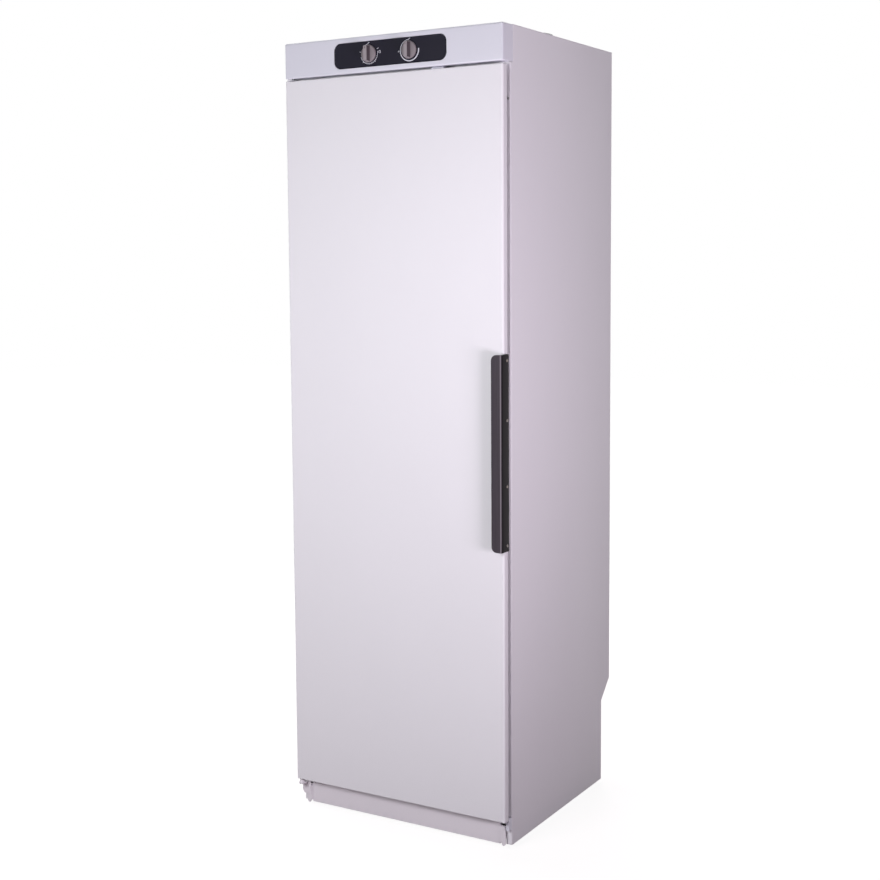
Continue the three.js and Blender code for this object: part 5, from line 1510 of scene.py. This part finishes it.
@dataclass
class AirSystem(Assembly):
    """Fan, heater duct, exhaust spigot and the mains lead's gland."""

    bead: float = 1.2
    collar: float = 15.0  # width of the seated rim
    tube_wall: float = 1.5

    def build(self) -> None:
        """Builds the spigot and the gland, and dresses what the roof hides."""
        self.dress(Slot.ZINC_SHEET, "fan_housing", "heater_duct")
        self.dress(Slot.DARK_STEEL, "fan_wheel", "heater_element")
        self.dress(Slot.BLACK_PLASTIC, "fan_motor", "timer_unit", "thermostat_unit")
        self.dress(Slot.BRIGHT_STEEL, "timer_shaft", "thermostat_shaft")
        self.spigot()
        self.gland()

    def spigot(self) -> None:
        """A collar turned from sheet: tube, seated rim and a rolled bead at the top."""
        box = Box.of("exhaust_spigot")
        roof, low, top = Box.of("top_panel").high[2], box.low[2], box.high[2]
        rim = box.size[0] / 2
        outer = rim - self.collar
        bore, bead, mouth = outer - self.tube_wall, outer + self.bead, outer + 1
        profile = rounded_path([
            [bore, low, 0.2], [outer, low, 0.2], [outer, roof + 0.3, 0.3],
            [rim, roof + 0.3, 0.5], [rim, roof + 1.8, 0.6], [mouth, roof + 1.8, 1.2],
            [outer, roof + 4, 1], [outer, roof + 17, 1], [bead, roof + 18.5, 1],
            [bead, roof + 20, 1], [outer, roof + 21.5, 1], [outer, top - 3, 0.8],
            [mouth, top - 2, 0.8], [mouth, top, 0.9], [bore, top, 0.6]], 4)
        surface = turned(profile, box.middle(2, 0), Z, 96, closed=True)
        self.piece("exhaust_collar", surface, Slot.ZINC_SHEET, ["exhaust_spigot"])
        places = box.centre[:2] + (outer + 8.5) * spokes(45 + 90 * np.arange(4))
        self.screws("collar_screws", xyz(*places.T, roof + 1.8), Z, 3.4, 1.6, 28)

    def gland(self) -> None:
        """A snap-in gland: a body with a collar inside the panel and a chamfered mouth."""
        box = Box.of("cable_gland")
        outer, long = box.size[0] / 2, box.size[1]
        neck = outer - 3
        ring = rounded_path([
            [4, 0, 0.3], [neck, 0, 0.5], [neck, 3, 0.2], [outer, 3.2, 0.4], [outer, 5.8, 0.4],
            [neck, 6, 0.2], [neck, long, 0.6], [5.4, long, 0.4], [4, long - 2, 0.4]], 3)
        surface = turned(ring, box.middle(1, box.low[1]), Y, 48, closed=True)
        self.piece("cable_gland_moulded", surface, Slot.BLACK_PLASTIC, ["cable_gland"])


# ------------------------------------------------------------------------------- studio


@dataclass
class Lamp:
    """A soft square lamp: its place and aim in metres, side, power in watts, colour and
    whether shiny surfaces show it."""

    name: str
    place: tuple[float, float, float]
    aim: tuple[float, float, float]
    side: float
    power: float
    color: Color = (1, 1, 1)
    shown: bool = False

    def hang(self) -> None:
        """Hangs the lamp and turns it to its aim."""
        data = bpy.data.lights.new(self.name, "AREA")
        data.size, data.energy, data.color = self.side, self.power, self.color
        made = placed(self.name, data)
        made.location = self.place
        made.visible_camera = False
        made.visible_glossy = self.shown
        aim = Vector(self.aim) - Vector(self.place)
        made.rotation_euler = aim.to_track_quat("-Z", "Y").to_euler()


@dataclass
class Studio:
    """Camera, lamps, white surroundings and the pale floor."""

    camera_place: tuple[float, float, float] = (1.81764, -3.16126, 1.3782)
    yaw: float = 0.54771  # radians
    pitch: float = -0.09698
    roll: float = -0.00855
    focal: float = 1445.95  # pixels of the 880 pixel frame
    centre: tuple[float, float] = (415.61, 400.81)
    picture: float = 880.0
    sensor: float = 36.0
    ambient: float = 0.05
    floor_size: float = 24.0
    floor_near: float = 1.1  # the floor takes shadow out to here, and fades to plain white
    floor_far: float = 2.6
    lamps: tuple[Lamp, ...] = (
        Lamp("key_lamp", (-0.28, -2.41, 1.46), (0, 0, 0.48), 0.9, 35.4, (0.978, 0.98, 1), True),
        Lamp("side_lamp", (2.05, -1.06, 0.79), (0.2, 0, 3.3), 0.7, 38.0, (1, 0.895, 1), True),
        Lamp("left_lamp", (-3.6, 0.5, 1.7), (0, 0.1, 1.0), 1.6, 64),
        Lamp("rear_lamp", (-1.5, 3.3, 3.7), (0, 0.2, 0.9), 1.8, 85),
        Lamp("roof_lamp", (-0.1, 0.4, 4.0), (0, 0.2, 0), 0.7, 34),
    )

    def build(self) -> None:
        """Sets up everything that isn't part of the object."""
        bpy.context.scene.view_settings.view_transform = "Standard"
        self.camera()
        for lamp in self.lamps:
            lamp.hang()
        self.surroundings()
        self.floor()

    def camera(self) -> None:
        """A camera whose axes are worked out from yaw, pitch and roll: it looks along
        (-sin yaw cos pitch, cos yaw cos pitch, sin pitch), and rolls about that line."""
        ahead = np.array([-np.sin(self.yaw), np.cos(self.yaw), 0])
        look = ahead * np.cos(self.pitch) + Z * np.sin(self.pitch)
        right = np.cross(ahead, Z)
        up = np.cross(right, look)
        rolled = right * np.cos(self.roll) + up * np.sin(self.roll)
        raised = up * np.cos(self.roll) - right * np.sin(self.roll)
        data = bpy.data.cameras.new("camera")
        data.sensor_width = self.sensor
        data.lens = self.focal * self.sensor / self.picture
        data.shift_x = (self.picture / 2 - self.centre[0]) / self.picture
        data.shift_y = (self.centre[1] - self.picture / 2) / self.picture
        camera = placed("camera", data)
        axes = np.stack([rolled, raised, -look, self.camera_place], axis=1)
        camera.matrix_world = Matrix([*axes.tolist(), (0, 0, 0, 1)])
        bpy.context.scene.camera = camera

    @staticmethod
    def seen(g: Graph) -> Socket:
        """1 for rays that show the surroundings: camera, glossy and transmission rays.

        Args:
            g: The graph of the material or world.

        Returns:
            The mask.
        """
        path = g.add("LightPath").outputs
        rays = [path[f"Is {kind} Ray"] for kind in ("Camera", "Glossy", "Transmission")]
        return g.math("MAXIMUM", g.math("MAXIMUM", rays[0], rays[1]), rays[2])

    def surroundings(self) -> None:
        """White where it is seen, and a plain grey light otherwise."""
        world = bpy.data.worlds.new("surroundings")
        g = Graph.of(world)
        light, white = (g.add("Background", {"Color": (1, 1, 1, 1), "Strength": strength})
                        for strength in (self.ambient, 1.0))
        g.add("OutputWorld", {"Surface": g.between(self.seen(g), light, white)})
        bpy.context.scene.world = world

    def floor(self) -> None:
        """A pale floor: where it is seen, most of it is its own white and the rest takes
        the light and the object's shadow."""
        half = self.floor_size / 2
        mesh = bpy.data.meshes.new("floor")
        mesh.from_pydata([(-half, -half, 0), (half, -half, 0), (half, half, 0), (-half, half, 0)],
                         [], [(0, 1, 2, 3)])
        made = placed("floor", mesh)
        pale = bpy.data.materials.new("pale_floor")
        g = Graph.of(pale)
        matt = g.add("BsdfDiffuse", {"Color": (0.33, 0.28, 0.3, 1)})
        reach = g.add("VectorMath", {0: g.add("TexCoord").outputs["Object"]},
                      operation="LENGTH").outputs["Value"]
        plain = g.span(reach, self.floor_near, self.floor_far, 0, 1)
        white = g.add("Emission", {"Color": (1, 1, 1, 1),
                                   "Strength": g.math("MULTIPLY_ADD", plain, -0.81, 1.83)})
        share = g.math("MULTIPLY", self.seen(g), g.math("MULTIPLY_ADD", plain, 0.5, 0.5))
        g.add("OutputMaterial", {"Surface": g.between(share, matt, white)})
        mesh.materials.append(pale)


def main() -> None:
    """Builds the studio and then each sub-assembly."""
    logging.basicConfig(level=logging.INFO, format="%(name)s %(message)s")
    Studio().build()
    effects = Effects()
    paints = {finish.slot: finish.material(effects) for finish in FINISHES}
    for assembly in (Casing, Chamber, AirSystem, ControlPanel, Door):
        log.info("building %s", assembly.__name__)
        assembly(paints).build()


if __name__ == "__main__":
    main()
